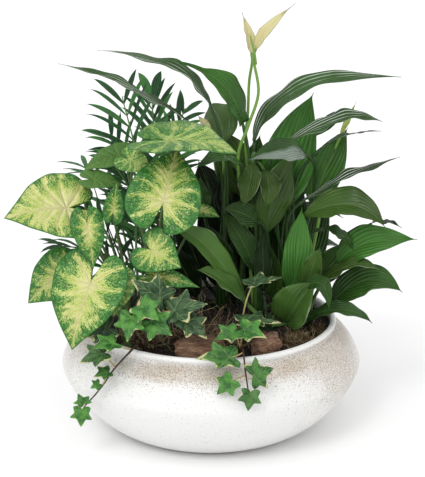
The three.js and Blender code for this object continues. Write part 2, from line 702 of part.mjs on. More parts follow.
function palmFrond({ name, points, first, pairs, length, face, spread, endWidth = LEAFLET_WIDTH }) {
  const [x, y] = points[0];
  const footRadius = PALM_STALK_RADIUS + 0.5;
  const bottom = cutHole(x, y, (footRadius + 1.5 * GAP) / Math.cos(Math.PI / 6), 6);
  const level = bottom + FOOT_DEPTH;
  const foot = [bottom, level - 6, level + 2].map((height) => new THREE.Vector3(x, y, height));
  const rib = new THREE.CatmullRomCurve3([...foot, ...points.slice(1).map(vec)]);
  const skin = newSkin();
  const addRow = (along, radius) => {
    const { normal, across } = bladeFrame(rib, along, face, 0);
    const depth = () => radius * 0.75;
    return sectionCorners(rib.getPoint(along), across, normal, 2, radius, depth, () => 0).map(skin.put);
  };
  const lower = [0, 0.06, 0.25, 0.45].filter((along) => along < first - 0.08);
  let row = addRow(lower[0], footRadius);
  skin.capRow(row, false);
  const goOn = (along, radius, open) => {
    const next = addRow(along, radius);
    skin.joinRows(row, next, open);
    const before = row;
    row = next;
    return before;
  };
  lower.slice(1).forEach((along) => goOn(along, PALM_STALK_RADIUS));
  for (let pair = 0; pair < pairs; pair += 1) {
    const share = pair / (pairs - 1);
    const along = first + (1 - RIB_STEP - first) * share;
    const { tangent, normal, across } = bladeFrame(rib, along, face, 0);
    goOn(along, 1.2);
    const before = goOn(along + RIB_STEP, 1.1, [1, 3]);
    const long = length * (0.72 + 0.5 * Math.sin(Math.PI * (0.15 + 0.7 * share))) * (1 - 0.25 * share);
    const open = spread * (1 - 0.45 * share);
    const wide = pair === pairs - 1 ? endWidth : LEAFLET_WIDTH;
    for (const side of [1, -1]) {
      const heading = tangent.clone().multiplyScalar(Math.cos(open));
      heading.addScaledVector(across, side * Math.sin(open)).normalize();
      const tilted = normal.clone().addScaledVector(across, -0.25 * side).normalize();
      const root = rib.getPoint(along + 0.5 * RIB_STEP);
      const rows = leafletRows(root, heading, long, wide, tilted, 0.12 + 0.1 * (1 - share));
      const [a, b] = [before, row];
      const opening = side > 0 ? [b[1], a[1], a[2], b[2]] : [a[0], b[0], b[3], a[3]];
      const indexed = [opening, ...rows.map((corners) => corners.map(skin.put))];
      for (let i = 0; i < indexed.length - 1; i += 1) skin.joinRows(indexed[i], indexed[i + 1]);
      skin.capRow(indexed[indexed.length - 1], true);
    }
  }
  skin.capRow(row, true);
  addMesh(name, solid(skin.geometry()), COLOURS.palm);
}

// Each frond: foot, then points of the rib; the leaflets start at a share of its length
const FRONDS = [
  {
    name: 'palm_frond_left', first: 0.62, pairs: 6, length: 62, spread: 0.95, face: [-0.1, -0.9, 0.5],
    points: [[-56, 34], [-62, 36, 160], [-68, 38, 240], [-82, 32, 306]],
  },
  {
    name: 'palm_frond_tall', first: 0.7, pairs: 4, length: 52, spread: 0.6, face: [0.1, -1, 0.2],
    points: [[-40, 60], [-46, 65, 170], [-53, 67, 250], [-56, 65, 301]], endWidth: 9,
  },
  {
    name: 'palm_frond_right', first: 0.66, pairs: 5, length: 40, spread: 0.9, face: [0, -0.8, 0.6],
    points: [[-28, 42], [-36, 46, 170], [-42, 47, 240], [-24, 46, 292]],
  },
  {
    name: 'palm_frond_middle', first: 0.66, pairs: 4, length: 42, spread: 0.9, face: [0, -1, 0.4],
    points: [[-68, 14], [-70, 20, 150], [-74, 22, 215], [-92, 14, 250]],
  },
  {
    name: 'palm_frond_low', first: 0.45, pairs: 5, length: 36, spread: 0.85, face: [0, -0.3, 1],
    points: [[-80, -2], [-88, -4, 135], [-112, -6, 168], [-140, -12, 176]],
  },
  {
    name: 'palm_frond_back_left', first: 0.5, pairs: 5, length: 44, spread: 0.95, face: [-0.3, 0.2, 1],
    points: [[-70, 46], [-80, 56, 150], [-98, 76, 205], [-124, 100, 222]],
  },
  {
    name: 'palm_frond_back', first: 0.5, pairs: 5, length: 44, spread: 0.95, face: [0, 0.4, 1],
    points: [[-50, 76], [-52, 86, 160], [-52, 102, 228], [-50, 128, 258]],
  },
  {
    name: 'palm_frond_back_right', first: 0.5, pairs: 5, length: 38, spread: 0.95, face: [0.2, 0.4, 1],
    points: [[-24, 88], [-24, 96, 140], [-26, 118, 180], [-26, 144, 192]],
  },
];
FRONDS.forEach(palmFrond);

// Ivy: five-lobed leaves on thin stalks along a woody stem
const IVY_HALF = [[1, 0], [0.53, 0.26], [0.44, 0.7], [0.1, 0.47], [-0.25, 0.54], [-0.27, 0.18], [-0.1, 0.04]];
const IVY_FOLD = 0.12;
const IVY_ARCH = 0.16;
const IVY_SAG = 0.15;

function ivyLeaf([root, joint, tip, face, breadth = 1]) {
  const blade = broadSurface(joint, tip, face, breadth, IVY_FOLD, IVY_ARCH);
  const start = vec(root);
  const end = blade.surface(-0.12, 0).point;
  const middle = start.clone().lerp(end, 0.5);
  middle.addScaledVector(blade.normal, -IVY_SAG * start.distanceTo(end));
  const path = new THREE.QuadraticBezierCurve3(start, middle, end);
  const rows = stalkRows(path, 1, IVY_STALK_RADIUS, 2, blade.normal);
  return solid(stalkedBlade(blade.surface, bothSides(IVY_HALF), [1], rows));
}

// Each leaf: where its stalk leaves the stem, stalk joint, tip, the way it faces
const IVY = [
  {
    name: 'ivy_left_trail',
    foot: [-60, -76],
    stem: [[-64, -84, 108], [-68, -101, 109], [-84, -110, 94], [-98, -108, 73], [-113, -98, 52]],
    leaves: [
      [[-70, -102, 108], [-86, -111, 117], [-104, -119, 115], [0, -0.3, 1]],
      [[-84, -110, 94], [-95, -113, 108], [-115, -117, 101], [-0.1, -0.4, 0.9]],
      [[-97, -109, 75], [-91, -114, 91], [-103, -118, 88], [0, -0.4, 0.9]],
      [[-97, -109, 75], [-99, -114, 80], [-106, -117, 77], [-0.2, -0.9, 0.4]],
      [[-112, -99, 54], [-113, -103, 58], [-118, -107, 68], [-0.2, -0.9, 0.3]],
      [[-113, -98, 52], [-115, -101, 49], [-116, -105, 35], [-0.2, -1, 0.2]],
    ],
  },
  {
    name: 'ivy_left_shoot',
    foot: [-68, -76],
    stem: [[-68, -82, 114], [-67, -92, 130], [-66, -97, 144]],
    leaves: [
      [[-67, -92, 130], [-70, -103, 138], [-73, -118, 121], [-0.1, -0.9, 0.4], 0.85],
      [[-66, -96, 143], [-60, -103, 148], [-45, -114, 139], [0.1, -0.8, 0.6]],
    ],
  },
  {
    name: 'ivy_left_large',
    foot: [-50, -82],
    stem: [[-50, -86, 112], [-47, -88, 126], [-44, -85, 138]],
    leaves: [
      [[-44, -85, 138], [-45, -88, 151], [-70, -88, 168], [0.1, -1, 0.2], 0.85],
      [[-44, -85, 138], [-32, -95, 142], [-3, -103, 151], [0, -0.7, 0.7], 0.75],
      [[-46, -88, 128], [-21, -98, 133], [-3, -108, 120], [0, -0.7, 0.8], 0.8],
      [[-50, -86, 112], [-52, -100, 134], [-34, -110, 124], [0, -0.9, 0.4]],
    ],
  },
  {
    name: 'ivy_rim_left',
    foot: [-90, -50],
    stem: [[-91, -56, 108], [-92, -66, 117]],
    leaves: [
      [[-92, -66, 117], [-94, -76, 119], [-124, -82, 112], [0, -0.4, 1]],
    ],
  },
  {
    name: 'ivy_right_trail',
    foot: [26, -92],
    stem: [[26, -98, 108], [28, -116, 112], [30, -130, 98], [33, -136, 78]],
    leaves: [
      [[26, -98, 108], [29, -104, 127], [49, -111, 122], [0.2, -0.5, 0.9]],
      [[26, -103, 110], [20, -109, 126], [3, -116, 122], [-0.2, -0.5, 0.9]],
      [[28, -118, 111], [16, -124, 109], [-13, -131, 111], [-0.1, -0.6, 0.8], 0.7],
      [[29, -127, 103], [38, -133, 96], [54, -142, 106], [0.2, -0.9, 0.4]],
      [[30, -131, 95], [17, -136, 91], [5, -141, 81], [-0.2, -0.9, 0.4]],
      [[32, -134, 84], [34, -142, 82], [32, -147, 68], [0, -1, 0.2]],
    ],
  },
  {
    name: 'ivy_right_shoot',
    foot: [28, -64],
    stem: [[28, -66, 118], [31, -70, 140], [36, -74, 157]],
    leaves: [
      [[36, -74, 157], [38, -75, 160], [63, -69, 164], [0, 0.05, 1]],
      [[28, -66, 118], [31, -79, 126], [63, -77, 124], [0, -0.1, 1], 0.7],
    ],
  },
  {
    name: 'ivy_back',
    foot: [-26, 92],
    stem: [[-26, 98, 108], [-28, 116, 112], [-30, 130, 98], [-33, 136, 78]],
    leaves: [
      [[-27, 108, 111], [-36, 110, 114], [-56, 106, 112], [-0.1, 0.2, 1], 0.75],
      [[-28, 118, 111], [-16, 124, 106], [15, 131, 112], [0.1, 0.9, 0.5]],
      [[-29, 127, 103], [-38, 133, 96], [-54, 142, 106], [-0.2, 0.9, 0.4]],
      [[-32, 134, 84], [-33, 142, 84], [-31, 147, 68], [0, 1, 0.2]],
    ],
  },
];
for (const { name, foot, stem, leaves } of IVY) {
  const [x, y] = foot;
  const bottom = cutHole(x, y, (IVY_STEM_RADIUS + GAP) / Math.cos(Math.PI / 4), 4);
  const start = [new THREE.Vector3(x, y, bottom), new THREE.Vector3(x, y, bottom + FOOT_DEPTH + 1)];
  const path = new THREE.CatmullRomCurve3([...start, ...stem.map(vec)]);
  const solids = [solid(stalk(path, IVY_STEM_RADIUS, stem.length + 4))];
  leaves.forEach((leaf) => solids.push(ivyLeaf(leaf)));
  addMesh(name, fused(solids), COLOURS.ivy);
}

addMesh('soil', soilBody().subtract(fused(soilCuts)), COLOURS.soil);

export default group;
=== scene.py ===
import math
from functools import partialmethod
from itertools import combinations

import bpy
import numpy as np
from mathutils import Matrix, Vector


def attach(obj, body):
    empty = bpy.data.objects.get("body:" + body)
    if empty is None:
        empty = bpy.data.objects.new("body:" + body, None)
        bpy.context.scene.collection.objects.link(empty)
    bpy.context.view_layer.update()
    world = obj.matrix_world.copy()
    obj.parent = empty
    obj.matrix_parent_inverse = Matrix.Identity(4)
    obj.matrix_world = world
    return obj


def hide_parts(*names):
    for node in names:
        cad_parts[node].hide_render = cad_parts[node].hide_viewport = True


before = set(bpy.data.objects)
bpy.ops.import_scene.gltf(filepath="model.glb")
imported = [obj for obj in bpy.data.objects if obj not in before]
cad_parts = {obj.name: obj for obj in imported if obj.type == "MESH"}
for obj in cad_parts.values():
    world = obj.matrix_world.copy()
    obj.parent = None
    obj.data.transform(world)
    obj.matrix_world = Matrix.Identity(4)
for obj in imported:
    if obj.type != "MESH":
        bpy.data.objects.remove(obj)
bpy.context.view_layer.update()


# Camera and studio. The garden stands on a white sweep under a broad soft light from
# the upper left, in a pale room that lights it faintly from all sides.
EYE = Vector((0.0014, -1.5301, 0.6468))
AIM = Vector((0.0014, 0.0, 0.179))

lens = bpy.data.cameras.new("studio_camera")
lens.sensor_fit = "VERTICAL"
lens.sensor_height = 36
lens.lens = 130.4
camera = bpy.data.objects.new("studio_camera", lens)
camera.location = EYE
camera.rotation_euler = (AIM - EYE).to_track_quat("-Z", "Y").to_euler()
bpy.context.collection.objects.link(camera)
bpy.context.scene.camera = camera
bpy.context.scene.view_settings.view_transform = "Standard"


def soft_light(name, place, spread, power):
    """Distant lamp behind a large diffuser, shining from a place towards the garden."""
    lamp = bpy.data.lights.new(name, "SUN")
    lamp.angle = math.radians(spread)
    lamp.energy = power
    holder = bpy.data.objects.new(name, lamp)
    holder.location = place
    holder.rotation_euler = (Vector((0, 0, 0.15)) - Vector(place)).to_track_quat("-Z", "Y").to_euler()
    bpy.context.collection.objects.link(holder)


soft_light("key_light", (-0.6, -1.3, 2.6), 70, 0.7)
soft_light("gleam_light", (-0.9, -1.9, 2.2), 16, 0.55)
soft_light("front_light", (0.5, -2.4, 1.1), 80, 0.3)

room = bpy.data.worlds.new("white_room")
room.use_nodes = True
room.node_tree.nodes["Background"].inputs["Color"].default_value = (1, 1, 1, 1)
room.node_tree.nodes["Background"].inputs["Strength"].default_value = 0.82
bpy.context.scene.world = room

sweep = bpy.data.meshes.new("floor")
sweep.from_pydata([(-25, -25, 0), (25, -25, 0), (25, 25, 0), (-25, 25, 0)], [], [(0, 1, 2, 3)])
floor = bpy.data.objects.new("floor", sweep)
bpy.context.collection.objects.link(floor)
paper = bpy.data.materials.new("floor_paper")
paper.use_nodes = True
paper.node_tree.nodes["Principled BSDF"].inputs["Base Color"].default_value = (0.96, 0.96, 0.96, 1)
paper.node_tree.nodes["Principled BSDF"].inputs["Roughness"].default_value = 0.9
sweep.materials.append(paper)


# Bowl: thrown stoneware with a round belly, a shallow groove under a thin rolled lip,
# and a satin white glaze. Sandy brown speckle is sprayed on and gathers in the groove.
MM = 0.001
TURN = 2 * math.pi
BOWL_RADIUS = 140
BASE_RADIUS = 80
WIDEST_HEIGHT = 62.5
NECK_RADIUS = 116
NECK_HEIGHT = 95
MOUTH_RADIUS = 111.5
WALL = 7
FLOOR_HEIGHT = 10
LOWER_POWER = 1.38
UPPER_POWER = 1.35
BOWL_SIDES = 144
# Radius and height of points round the foot, and from the groove over the lip to the inside
FOOT = [(0.001, 0), (40, 0), (76, 0), (78.6, 0.2), (79.6, 0.8)]
LIP = [(115.6, 96.5), (115.8, 98.2), (116.7, 99.8), (117, 101.2), (116.6, 102.7), (115.4, 103.7),
       (113.8, 104), (112.3, 103.4), (111.6, 102), (111.5, 99), (111.5, 93)]
# Sand in the groove by heading, width and strength, and on the shoulders by place, width and strength
GROOVE_SAND = [(-1.75, 0.32, 0.9), (-1.05, 0.3, 0.8), (1.4, 0.5, 0.5)]
SHOULDER_SAND = [((112, -52, 82), 42, 0.75), ((-126, -40, 80), 30, 0.3)]
# Specks: size in metres, share of them by sand and everywhere, strength
SPECKS = [(0.0006, 1.7, 0.14, 0.35), (0.0008, 2.0, 0.005, 0.8), (0.0012, 0.9, 0.0, 0.7)]


class Form:
    """Corners and faces gathered for one piece, with the marks that its finish reads:
    leaf is (across, along, towards the edge), marks is (underside, tone, paleness).
    A lobed leaf has (nearest vein, along it, towards the edge) and, last, how near it is."""

    def __init__(self):
        self.points = []
        self.faces = []
        self.leaf = []
        self.marks = []
        self.total = 0

    def add(self, points, faces, leaf=(0, 0, 0), marks=(0, 0, 0)):
        points = np.asarray(points, float).reshape(-1, 3)
        self.points.append(points * MM)
        for group in faces:
            self.faces += (np.asarray(group) + self.total).tolist()
        self.leaf.append(np.broadcast_to(np.asarray(leaf, float), points.shape))
        self.marks.append(np.broadcast_to(np.asarray(marks, float), points.shape))
        self.total += len(points)

    def piece(self, name, finish, solid=None):
        mesh = bpy.data.meshes.new(name)
        mesh.from_pydata(np.concatenate(self.points).tolist(), [], self.faces)
        mesh.polygons.foreach_set("use_smooth", [True] * len(mesh.polygons))
        for label, rows in (("leaf", self.leaf), ("marks", self.marks)):
            layer = mesh.attributes.new(label, "FLOAT_VECTOR", "POINT")
            layer.data.foreach_set("vector", np.concatenate(rows).astype(np.float32).ravel())
        mesh.materials.append(finish.material)
        made = bpy.data.objects.new(name, mesh)
        bpy.context.collection.objects.link(made)
        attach(made, "root")
        if solid:
            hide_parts(solid)


class Signal:
    """Number or colour that a shader works out at each point. Reckoning with it adds maths nodes."""

    def __init__(self, finish, socket):
        self.finish = finish
        self.socket = socket

    def maths(self, operation, other=0.0):
        return self.finish.node("Math", 0, {"operation": operation}, _0=self, _1=other)

    __add__ = partialmethod(maths, "ADD")
    __sub__ = partialmethod(maths, "SUBTRACT")
    __mul__ = partialmethod(maths, "MULTIPLY")
    __pow__ = partialmethod(maths, "POWER")
    __lt__ = partialmethod(maths, "LESS_THAN")
    __gt__ = partialmethod(maths, "GREATER_THAN")
    __abs__ = partialmethod(maths, "ABSOLUTE")

    def waves(self, count):
        return (self * (TURN * count)).maths("SINE")

    def parts(self):
        return self.finish.node("SeparateXYZ", ("X", "Y", "Z"), Vector=self)

    def between(self, start, end, low=0.0, high=1.0):
        """Runs from low to high while this signal runs from start to end."""
        return self.finish.node("MapRange", 0, _0=self, _1=start, _2=end, _3=low, _4=high)

    def ramp(self, *stops):
        """Colours or greys at given places along this signal."""
        made = self.finish.node("ValToRGB", "Color", Fac=self)
        elements = made.socket.node.color_ramp.elements
        while len(elements) < len(stops):
            elements.new(0.5)
        for element, (place, colour) in zip(elements, stops):
            element.position = place
            element.color = (*colour, 1) if isinstance(colour, tuple) else (colour, colour, colour, 1)
        return made


class Finish:
    """Material with a short call for each kind of shader node that it is made of."""

    def __init__(self, name, **settings):
        self.material = bpy.data.materials.new(name)
        self.material.use_nodes = True
        self.shader = self.material.node_tree.nodes["Principled BSDF"]
        self.fill(self.shader, settings)

    def fill(self, made, sockets):
        """Set or join a node's inputs, given as Input_Name or, by number, as _0."""
        for label, value in sockets.items():
            socket = made.inputs[int(label[1:]) if label[1:].isdigit() else label.replace("_", " ")]
            if isinstance(value, Signal):
                self.material.node_tree.links.new(value.socket, socket)
            else:
                socket.default_value = (*value, 1) if socket.type == "RGBA" else value

    def node(self, kind, outputs, settings=None, **sockets):
        """New shader node, as the signal of one of its outputs or of several."""
        made = self.material.node_tree.nodes.new("ShaderNode" + kind)
        for label, value in (settings or {}).items():
            setattr(made, label, value)
        self.fill(made, sockets)
        if isinstance(outputs, tuple):
            return [Signal(self, made.outputs[output]) for output in outputs]
        return Signal(self, made.outputs[outputs])

    def read(self, *labels):
        """Three signals for each mark of a Form."""
        found = []
        for label in labels:
            found += self.node("Attribute", "Vector", {"attribute_name": label}).parts()
        return found

    def here(self):
        return self.node("TexCoord", "Object")

    def noise(self, scale, detail=2, place=None, roughness=0.5):
        return self.node("TexNoise", "Fac", Vector=place or self.here(), Scale=scale, Detail=detail,
                         Roughness=roughness)

    def cells(self, scale):
        return self.node("TexVoronoi", ("Distance", "Color"), Vector=self.here(), Scale=scale)

    def blend(self, factor, first, second, mode="MIX"):
        return self.node("Mix", 2, {"data_type": "RGBA", "blend_type": mode}, _0=factor, _6=first, _7=second)

    def paint(self, colour, bump, depth, strength):
        relief = self.node("Bump", "Normal", Height=bump, Distance=depth, Strength=strength)
        self.fill(self.shader, {"Base_Color": colour, "Normal": relief})


def grid_faces(rows, columns, wrap=False):
    """Squares between neighbouring rows; a wrapped grid also joins its last column to the first."""
    index = np.arange(rows * columns).reshape(rows, columns)
    right = np.roll(index, -1, axis=1)
    squares = np.stack([index[:-1], right[:-1], right[1:], index[1:]], axis=-1)
    return squares.reshape(-1, 4) if wrap else squares[:, :-1].reshape(-1, 4)


def belly(steps, inset=0.0):
    angle = np.linspace(0, np.pi / 2, steps)
    low_radius = BASE_RADIUS + (BOWL_RADIUS - BASE_RADIUS) * np.sin(angle) ** LOWER_POWER
    low_height = WIDEST_HEIGHT * (1 - np.cos(angle) ** LOWER_POWER)
    high_radius = NECK_RADIUS + (BOWL_RADIUS - NECK_RADIUS) * np.cos(angle) ** UPPER_POWER
    high_height = WIDEST_HEIGHT + (NECK_HEIGHT - WIDEST_HEIGHT) * np.sin(angle) ** UPPER_POWER
    radius = np.concatenate([low_radius, high_radius[1:]]) - inset
    return np.stack([radius, np.concatenate([low_height, high_height[1:]])], axis=1)


def bowl_profile():
    inner = [point for point in belly(14, WALL)[::-1] if 18 < point[1] < 89]
    bottom = [(radius, FLOOR_HEIGHT) for radius in (BASE_RADIUS + 10, 40, 0.001)]
    return np.array([*FOOT, *belly(26)[1:], *LIP, *inner, *bottom])


def turns(sides):
    return np.linspace(0, TURN, sides, endpoint=False)


def turned(profile, sides):
    radius, height = profile[:, :1], profile[:, 1:]
    return np.stack([radius * np.cos(turns(sides)), radius * np.sin(turns(sides)),
                     np.broadcast_to(height, (len(profile), sides))], axis=-1)


def hump(value, centre, width):
    return np.exp(-((value - centre) / width) ** 2)


bowl_points = turned(bowl_profile(), BOWL_SIDES)
x, y, z = np.moveaxis(bowl_points, -1, 0)
heading = np.arctan2(y, x)
drift = 0.3 + 0.2 * np.sin(heading * 3 + 0.8) + 0.2 * np.sin(heading * 7 + 2)
for centre, width, strength in GROOVE_SAND:
    drift += strength * hump(heading, centre, width)
sand = 1.15 * hump(z, 91, 5) * drift + 0.2 * hump(z, 88, 9) + 0.01
for spot, width, strength in SHOULDER_SAND:
    sand += strength * hump(np.linalg.norm(bowl_points - spot, axis=-1), 0, width)
sand = np.where(z > 100, 0.12 * sand, sand)
bowl = Form()
bowl.add(bowl_points, [grid_faces(len(bowl_points), BOWL_SIDES, wrap=True)],
         marks=np.stack([z < 1.5, np.clip(sand, 0, 1.2), 0 * z], axis=-1).reshape(-1, 3))

glaze = Finish("speckled_glaze", Roughness=0.36, Specular_IOR_Level=0.4)
bare_clay, sandy, _ = glaze.read("marks")
gathered = sandy * (glaze.noise(30, 3) * 1.8 + 0.1)
coated = glaze.blend(gathered * 0.38, (0.79, 0.79, 0.78), (0.43, 0.31, 0.18))
for size, share, least, strength in SPECKS:
    distance, colour = glaze.cells(1 / size)
    picked, width, grey = colour.parts()
    spotted = (distance < width * 0.3 + 0.2) * (picked < gathered * share + least)
    brown = grey.ramp((0, (0.09, 0.055, 0.03)), (0.5, (0.25, 0.165, 0.09)), (1, (0.48, 0.42, 0.34)))
    coated = glaze.blend(spotted * strength, coated, brown)
coated = glaze.blend(bare_clay, coated, (0.55, 0.48, 0.4))
glaze.paint(coated, glaze.noise(160) - spotted, depth=0.0001, strength=0.25)
bowl.piece("stoneware_bowl", glaze, "bowl")


# Gravel: a drainage layer of grey pebbles at the bottom of the bowl, under the soil
# and out of sight.
pebbles = Finish("pebbles", Roughness=0.8)
distance, colour = pebbles.cells(160)
greys = colour.parts()[0].ramp((0, (0.2, 0.19, 0.17)), (1, (0.5, 0.47, 0.42)))
pebbles.paint(greys, distance, depth=0.003, strength=0.8)
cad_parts["gravel"].data.materials.clear()
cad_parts["gravel"].data.materials.append(pebbles.material)


# Soil: dark peaty potting mix, pressed in by hand to a low mound. Crumbs and bits of
# fibre lie loose on it.
SOIL_EDGE_HEIGHT = 94
SOIL_MOUND = 7
SOIL_SIDES = 150
CRUMBS = 1500


def lumps(x, y, z):
    return (np.sin(x * 2.1 + y * 1.3 + z * 0.7) + np.sin(y * 3.7 - x * 1.9 + z * 2.3)
            + 0.6 * np.sin(z * 4.1 + x * 3.3 - y * 2.7))


def soil_height(x, y):
    away = np.minimum(1, np.hypot(x, y) / MOUTH_RADIUS)
    rolling = 0.7 * lumps(x / 17, y / 17, 0.4) * (1 - away ** 4)
    return SOIL_EDGE_HEIGHT + SOIL_MOUND * (1 - away ** 2) + rolling


def closed_faces(rows, sides):
    """Faces of a wrapped grid with its first and last rows closed."""
    ring = np.arange(sides)[None]
    return [grid_faces(rows, sides, wrap=True), ring[:, ::-1], ring + (rows - 1) * sides]


side_wall = np.array([(MOUTH_RADIUS - 6, 60), (MOUTH_RADIUS - 0.5, 80), (MOUTH_RADIUS - 0.5, 92)])
top = np.array([(radius, SOIL_EDGE_HEIGHT) for radius in np.linspace(MOUTH_RADIUS - 0.6, 0.5, 62)])
soil_points = turned(np.concatenate([side_wall, top]), SOIL_SIDES)
x, y = soil_points[3:, :, 0], soil_points[3:, :, 1]
crumble = 0.5 * lumps(x / 2.3, y / 2.3, 1.7) + 0.45 * lumps(y / 1.1, x / 1.3, 0.3)
soil_points[3:, :, 2] = soil_height(x, y) + 0.8 * np.clip(crumble, -1.4, 1.6)
soil = Form()
soil.add(soil_points, closed_faces(len(soil_points), SOIL_SIDES))

# Crumbs grow from a ball of 20 triangles, whose 12 corners make three crossed golden oblongs
golden = (1 + 5 ** 0.5) / 2
ball = np.array([np.roll((a, b * golden, 0), k) for k in range(3) for b in (1, -1) for a in (-1, 1)]) / 1.9
close = np.linalg.norm(ball[:, None] - ball, axis=-1) < 1.2
ball_faces = [three if np.linalg.det(ball[list(three)]) > 0 else three[::-1]
              for three in combinations(range(12), 3) if close[np.ix_(three, three)].all()]
dice = np.random.default_rng(7)
for _ in range(CRUMBS):
    radius, turn = (MOUTH_RADIUS - 3.5) * dice.random() ** 0.5, TURN * dice.random()
    spot = np.array([radius * math.cos(turn), radius * math.sin(turn), 0])
    spot[2] = soil_height(spot[0], spot[1]) + 0.6
    size = 0.6 + 1.9 * dice.random() ** 3
    crumb = ball * size * (0.6 + 0.8 * dice.random((12, 3))) * dice.uniform(0.5, 1.5, 3)
    soil.add(crumb + spot, [ball_faces], marks=(0, 0.15 + 0.85 * dice.random(), 0))

mix = Finish("potting_mix", Roughness=0.92)
tone = mix.read("marks")[1]
earth = mix.noise(700, 4).ramp((0.3, (0.004, 0.003, 0.003)), (0.6, (0.014, 0.01, 0.008)),
                               (0.8, (0.06, 0.04, 0.028)))
mix.paint(mix.blend(tone * 0.4, earth, (0.11, 0.07, 0.045)), mix.noise(900, 4), depth=0.001, strength=0.8)
soil.piece("potting_soil", mix, "soil")


# Bark: two broken chunks of bark mulch pushed into the soil behind the front rim. One
# face is worn smooth and the others are torn along the grain.

# Each chunk: name, centre, half sizes and turn
BARK = [
    ("bark_chunk_left", (-10, -86, 103), (21, 8, 11), 0.06),
    ("bark_chunk_right", (49, -80, 103), (13, 8, 12), 0.4),
]


def chunk(form, centre, size, roughness, turn, grain, tone=0.0):
    """Lumpy block with soft corners, grown from a ball."""
    rows, columns = 46, 72
    up = np.linspace(-np.pi / 2 + 0.02, np.pi / 2 - 0.02, rows)[:, None]
    ball = np.stack([np.cos(up) * np.cos(turns(columns)), np.cos(up) * np.sin(turns(columns)),
                     np.broadcast_to(np.sin(up), (rows, columns))], axis=-1)
    x, y, z = np.moveaxis(ball, -1, 0)
    swell = 1 + roughness * lumps(x * 1.7 + centre[0], y * 1.7 + centre[1], z * 1.7)
    reach = swell / np.max(np.abs(ball), axis=-1) ** 0.45
    rough = grain * (lumps(x * 3 + y * 9, z * 11, y * 5) + 0.6 * lumps(z * 23, y * 19 + x * 4, x * 6))
    offset = ball * (np.array(size) * reach[..., None] + rough[..., None])
    cosine, sine = math.cos(turn), math.sin(turn)
    turning = np.array([(cosine, sine, 0), (-sine, cosine, 0), (0, 0, 1)])
    form.add(offset @ turning + centre, closed_faces(rows, columns), marks=(0, tone, 0))


bark = Finish("torn_bark", Roughness=0.85)
along_grain = bark.node("Mapping", "Vector", Vector=bark.here(), Scale=(90, 420, 520))
grain = bark.noise(1, 6, along_grain, 0.72)
worn = grain.ramp((0.3, (0.05, 0.024, 0.014)), (0.42, (0.22, 0.11, 0.065)), (0.56, (0.4, 0.235, 0.145)),
                  (0.72, (0.6, 0.44, 0.31)))
dark_top = bark.here().parts()[2].between(0.106, 0.114, 1, 0.5)
bark.paint(bark.blend(1, worn, dark_top, "MULTIPLY"), grain, depth=0.0025, strength=1)
for name, centre, size, turn in BARK:
    form = Form()
    chunk(form, centre, size, 0.07, turn, 0.22)
    form.piece(name, bark, name.replace("chunk_", ""))


# Moss: cushions of dry sphagnum laid on the soil at the front right and between the
# stems. Loose wiry strands curl out of them.

# Each cushion: name, centre, half sizes, turn and count of strands
MOSS = [
    ("moss_cushion_front", (79, -58, 98), (14, 11, 6), 0.9, 330),
    ("moss_cushion_right", (98, -26, 97), (6, 11, 5), 0.2, 130),
    ("moss_cushion_middle", (18, -50, 100), (14, 9, 6), 0.3, 260),
]
STRAND_RADII = (0.34, 0.12)


def unit(vectors):
    return vectors / np.maximum(np.linalg.norm(vectors, axis=-1, keepdims=True), 1e-9)


def tube(form, path, radius, sides=6, normal=(0.3, -1, 0.2), marks=(0, 0, 0), flat=1.0):
    """Round stem along a path of points, closed at both ends."""
    path = np.asarray(path, float)
    ahead = unit(np.gradient(path, axis=0))
    side = np.asarray(normal, float)
    rings = []
    for place, along, size in zip(path, ahead, np.broadcast_to(radius, len(path))):
        side = unit(side - along * side.dot(along))
        across = np.cross(along, side)
        rings.append(place + size * (np.outer(np.cos(turns(sides)), across)
                                     + flat * np.outer(np.sin(turns(sides)), side)))
    leaf = np.zeros((len(path) * sides, 3))
    leaf[:, 1] = np.repeat(np.linspace(0, 1, len(path)), sides)
    form.add(np.array(rings), closed_faces(len(path), sides), leaf, marks)


def keep_on_soil(path, gap, margin):
    """Lift a loose strand off the soil and pull it in from the bowl's wall."""
    path[:, 2] = np.maximum(path[:, 2], soil_height(path[:, 0], path[:, 1]) + gap)
    path[:, :2] *= np.minimum(1, (MOUTH_RADIUS - margin) / np.hypot(path[:, 0], path[:, 1]))[:, None]


moss = Finish("dry_moss", Roughness=0.95)
_, tone, strand = moss.read("marks")
fibre = moss.noise(500, 4).ramp((0.3, (0.014, 0.009, 0.005)), (0.55, (0.07, 0.045, 0.018)),
                                (0.75, (0.18, 0.13, 0.055)))
straw = tone.ramp((0, (0.03, 0.018, 0.008)), (0.4, (0.13, 0.08, 0.03)), (0.7, (0.22, 0.17, 0.06)),
                  (1, (0.42, 0.3, 0.15)))
moss.paint(moss.blend(strand, fibre, straw), moss.noise(1200, 3), depth=0.001, strength=0.8)
for name, centre, size, turn, strands in MOSS:
    form = Form()
    chunk(form, centre, np.array(size) * 0.93, 0.1, turn, 0.35, 0.4)
    for _ in range(strands):
        way = unit(dice.normal(size=3))
        way[2] = abs(way[2])
        root = np.array(centre) + way * np.array(size) * 0.9
        curl = unit(dice.normal(size=3) + (0, 0, 0.4))
        steps = np.linspace(0, 1, 6)[:, None]
        path = root + dice.uniform(3, 8) * (way * steps * 0.45 + curl * np.sin(steps * 2.2) * 0.5)
        keep_on_soil(path, 0.3, 1.5)
        tube(form, path, np.linspace(*STRAND_RADII, 6), 3, marks=(0, dice.random(), 1))
    form.piece(name, moss, name.replace("cushion_", ""))


# Roots: dry tan roots and runners, left bare by watering, tangled over the soil among
# the stems at the front.

